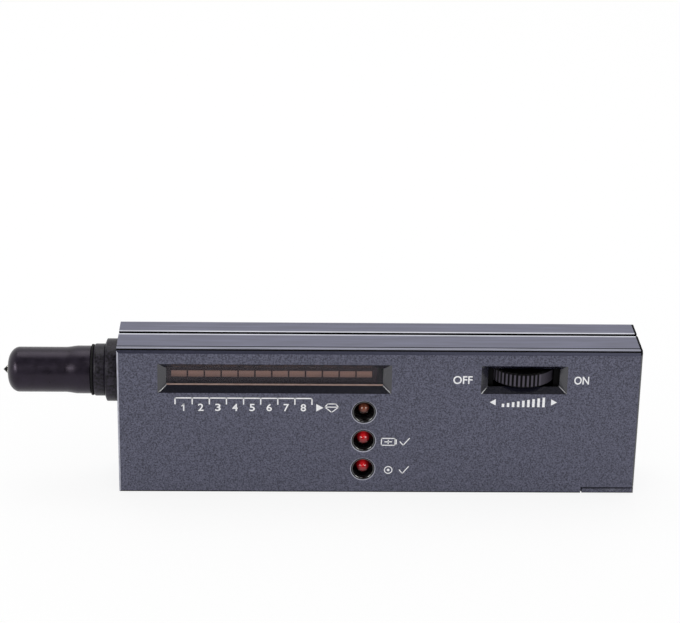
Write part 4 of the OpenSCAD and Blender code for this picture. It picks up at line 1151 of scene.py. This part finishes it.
class TESTER_OT_insides(bpy.types.Operator):
    """Finishes the pieces inside the case that keep the shape of their solids"""

    bl_idname = "tester.insides"
    bl_label = "Insides"

    def execute(self, context):
        paint(zinc_steel(), "case_screws", "board_screws", "wheel_screw", "barrel_locknut")
        paint(spring_steel(), "tip_spring")
        paint(tinned_copper(), "bargraph_pins", "lamp_legs", "chip_legs_set", "control_terminals")
        paint(black_resin(), "bargraph_housing", "driver_chips", "transistors", "buzzer", "battery_snap")
        paint(board_laminate(), "circuit_board")
        paint(resistor_lacquer(), "resistors")
        paint(capacitor_cover(), "capacitors")
        paint(brown_phenolic(), "volume_control")
        paint(natural_acetal(), "control_shaft", "probe_barrel")
        paint(battery_wrap(), "battery")
        paint(nickel_plate(), "battery_terminals")
        paint(lead_cover("vinyl_red", "9c1519", "b01b1f"), "red_lead")
        paint(lead_cover("vinyl_black", "101012", "18181b"), "black_lead")
        paint(lead_cover("vinyl_grey", "6a6c72", "7c7e84"), "probe_leads")
        paint(bead_ceramic(), "heater_bead")
        return {"FINISHED"}


class TESTER_OT_stage(bpy.types.Operator):
    """Makes the camera, the floor and the light"""

    bl_idname = "tester.stage"
    bl_label = "Stage"

    def execute(self, context):
        look = context.scene.tester_stage
        context.scene.view_settings.view_transform = "Standard"
        self.camera(context, look)
        self.floor(context)
        self.lamps(context, look)
        self.surroundings(context, look)
        return {"FINISHED"}

    @staticmethod
    def camera(context, look):
        """Camera at the viewing angle of the picture, for a frame of 680 by 623."""
        data = bpy.data.cameras.new("camera")
        data.lens = look.lens
        data.sensor_width = 36.0
        data.sensor_fit = "HORIZONTAL"
        data.clip_start = 0.01
        camera = bpy.data.objects.new("camera", data)
        context.scene.collection.objects.link(camera)
        turn = (
            Matrix.Rotation(-look.yaw, 4, "Z") @ Matrix.Rotation(-look.pitch, 4, "X")
            @ Matrix.Rotation(-look.roll, 4, "Y") @ Matrix.Rotation(math.pi / 2, 4, "X"))
        camera.matrix_world = Matrix.Translation(look.place) @ turn
        context.scene.camera = camera

    @staticmethod
    def floor(context):
        """White floor under the object, open when seen from below."""
        half_width = 3.0
        # Share of the floor that shows as plain white, where the rest takes the shadow
        plain = 0.85
        bm = bmesh.new()
        bmesh.ops.create_grid(bm, x_segments=1, y_segments=1, size=half_width)
        mesh = bpy.data.meshes.new("floor")
        bm.to_mesh(mesh)
        bm.free()
        material, tree, shader, _ = new_material("paper_white")
        feed(tree, shader, {"Base Color": srgb("ffffff"), "Roughness": 0.9, "Specular IOR Level": 0.0})
        path = add(tree, "ShaderNodeLightPath")
        seen = add(tree, "ShaderNodeMath", {
            0: path.outputs["Is Camera Ray"], 1: path.outputs["Is Glossy Ray"]}, {"operation": "MAXIMUM"})
        seen = add(tree, "ShaderNodeMath", {
            0: seen, 1: path.outputs["Is Transmission Ray"]}, {"operation": "MAXIMUM"})
        share = add(tree, "ShaderNodeMath", {0: seen, 1: plain}, {"operation": "MULTIPLY"})
        white = add(tree, "ShaderNodeEmission", {"Strength": 1.0})
        lit = add(tree, "ShaderNodeMixShader", {0: share, 1: shader, 2: white})
        clear = add(tree, "ShaderNodeBsdfTransparent")
        under = add(tree, "ShaderNodeNewGeometry").outputs["Backfacing"]
        both = add(tree, "ShaderNodeMixShader", {0: under, 1: lit, 2: clear})
        feed(tree, tree.nodes["Material Output"], {"Surface": both})
        mesh.materials.append(material)
        floor = bpy.data.objects.new("floor", mesh)
        context.scene.collection.objects.link(floor)

    @staticmethod
    def lamps(context, look):
        """Soft lamp behind, and three in front that show only in gloss, all aimed at the origin."""
        for name, power, width, height, place, gloss_only in (
                ("overhead", look.overhead, 0.6, 0.6, (-0.1, 0.3, 1.0), False),
                ("above", look.above, 0.3, 0.3, (0.25, -0.55, 0.92), True),
                ("front_left", look.front, 0.7, 0.4, (-0.77, -0.68, 0.5), True),
                ("front_right", look.front, 0.7, 0.4, (0.73, -0.68, 0.5), True)):
            data = bpy.data.lights.new(name, "AREA")
            data.energy = power
            data.shape = "RECTANGLE"
            data.size = width
            data.size_y = height
            lamp = bpy.data.objects.new(name, data)
            lamp.location = place
            lamp.visible_diffuse = not gloss_only
            lamp.rotation_mode = "QUATERNION"
            lamp.rotation_quaternion = (-lamp.location).to_track_quat("-Z", "Y")
            context.scene.collection.objects.link(lamp)

    @staticmethod
    def surroundings(context, look):
        """White all round the horizon, dark above and behind the camera as seen in gloss."""
        dark_side = (0.0, -0.8, 0.6)
        world = bpy.data.worlds.new("surroundings")
        world.use_nodes = True
        context.scene.world = world
        tree = world.node_tree
        path = add(tree, "ShaderNodeLightPath")
        ray = add(tree, "ShaderNodeTexCoord").outputs["Generated"]
        lean = add(tree, "ShaderNodeVectorMath", {0: ray, 1: dark_side}, {"operation": "DOT_PRODUCT"})
        room = add(tree, "ShaderNodeMapRange", {
            "Value": lean, "From Min": 0.3, "From Max": 0.75, "To Min": 1.0, "To Max": 0.05},
            {"interpolation_type": "SMOOTHSTEP"})
        gloss = add(tree, "ShaderNodeMix", {
            0: path.outputs["Is Glossy Ray"], NUMBER_A: look.fill, NUMBER_B: room})
        seen = add(tree, "ShaderNodeMath", {
            0: path.outputs["Is Camera Ray"], 1: path.outputs["Is Transmission Ray"]}, {
            "operation": "MAXIMUM"})
        level = add(tree, "ShaderNodeMix", {0: seen, NUMBER_A: gloss, NUMBER_B: 1.0})
        feed(tree, tree.nodes["Background"], {"Color": (1, 1, 1, 1), "Strength": level})


PIECES = ("stage", "case", "display", "lamps", "wheel", "probe", "print", "insides")

OPERATORS = (
    TESTER_OT_stage, TESTER_OT_case, TESTER_OT_display, TESTER_OT_lamps, TESTER_OT_wheel, TESTER_OT_probe,
    TESTER_OT_print, TESTER_OT_insides)


class TESTER_PT_looks(bpy.types.Panel):
    """Lists the steps that dress the tester"""

    bl_idname = "TESTER_PT_looks"
    bl_label = "Gem Tester"
    bl_space_type = "VIEW_3D"
    bl_region_type = "UI"
    bl_category = "Tester"

    def draw(self, context):
        for operator in OPERATORS:
            self.layout.operator(operator.bl_idname)


def register():
    for group in GROUPS.values():
        bpy.utils.register_class(group)
    for name, group in GROUPS.items():
        setattr(bpy.types.Scene, name, PointerProperty(type=group))
    for operator in OPERATORS:
        bpy.utils.register_class(operator)
    bpy.utils.register_class(TESTER_PT_looks)


def unregister():
    bpy.utils.unregister_class(TESTER_PT_looks)
    for operator in reversed(OPERATORS):
        bpy.utils.unregister_class(operator)
    for name, group in GROUPS.items():
        delattr(bpy.types.Scene, name)
        bpy.utils.unregister_class(group)


def main():
    """Dresses the tester."""
    register()
    for piece in PIECES:
        getattr(bpy.ops.tester, piece)()


if __name__ == "__main__":
    main()
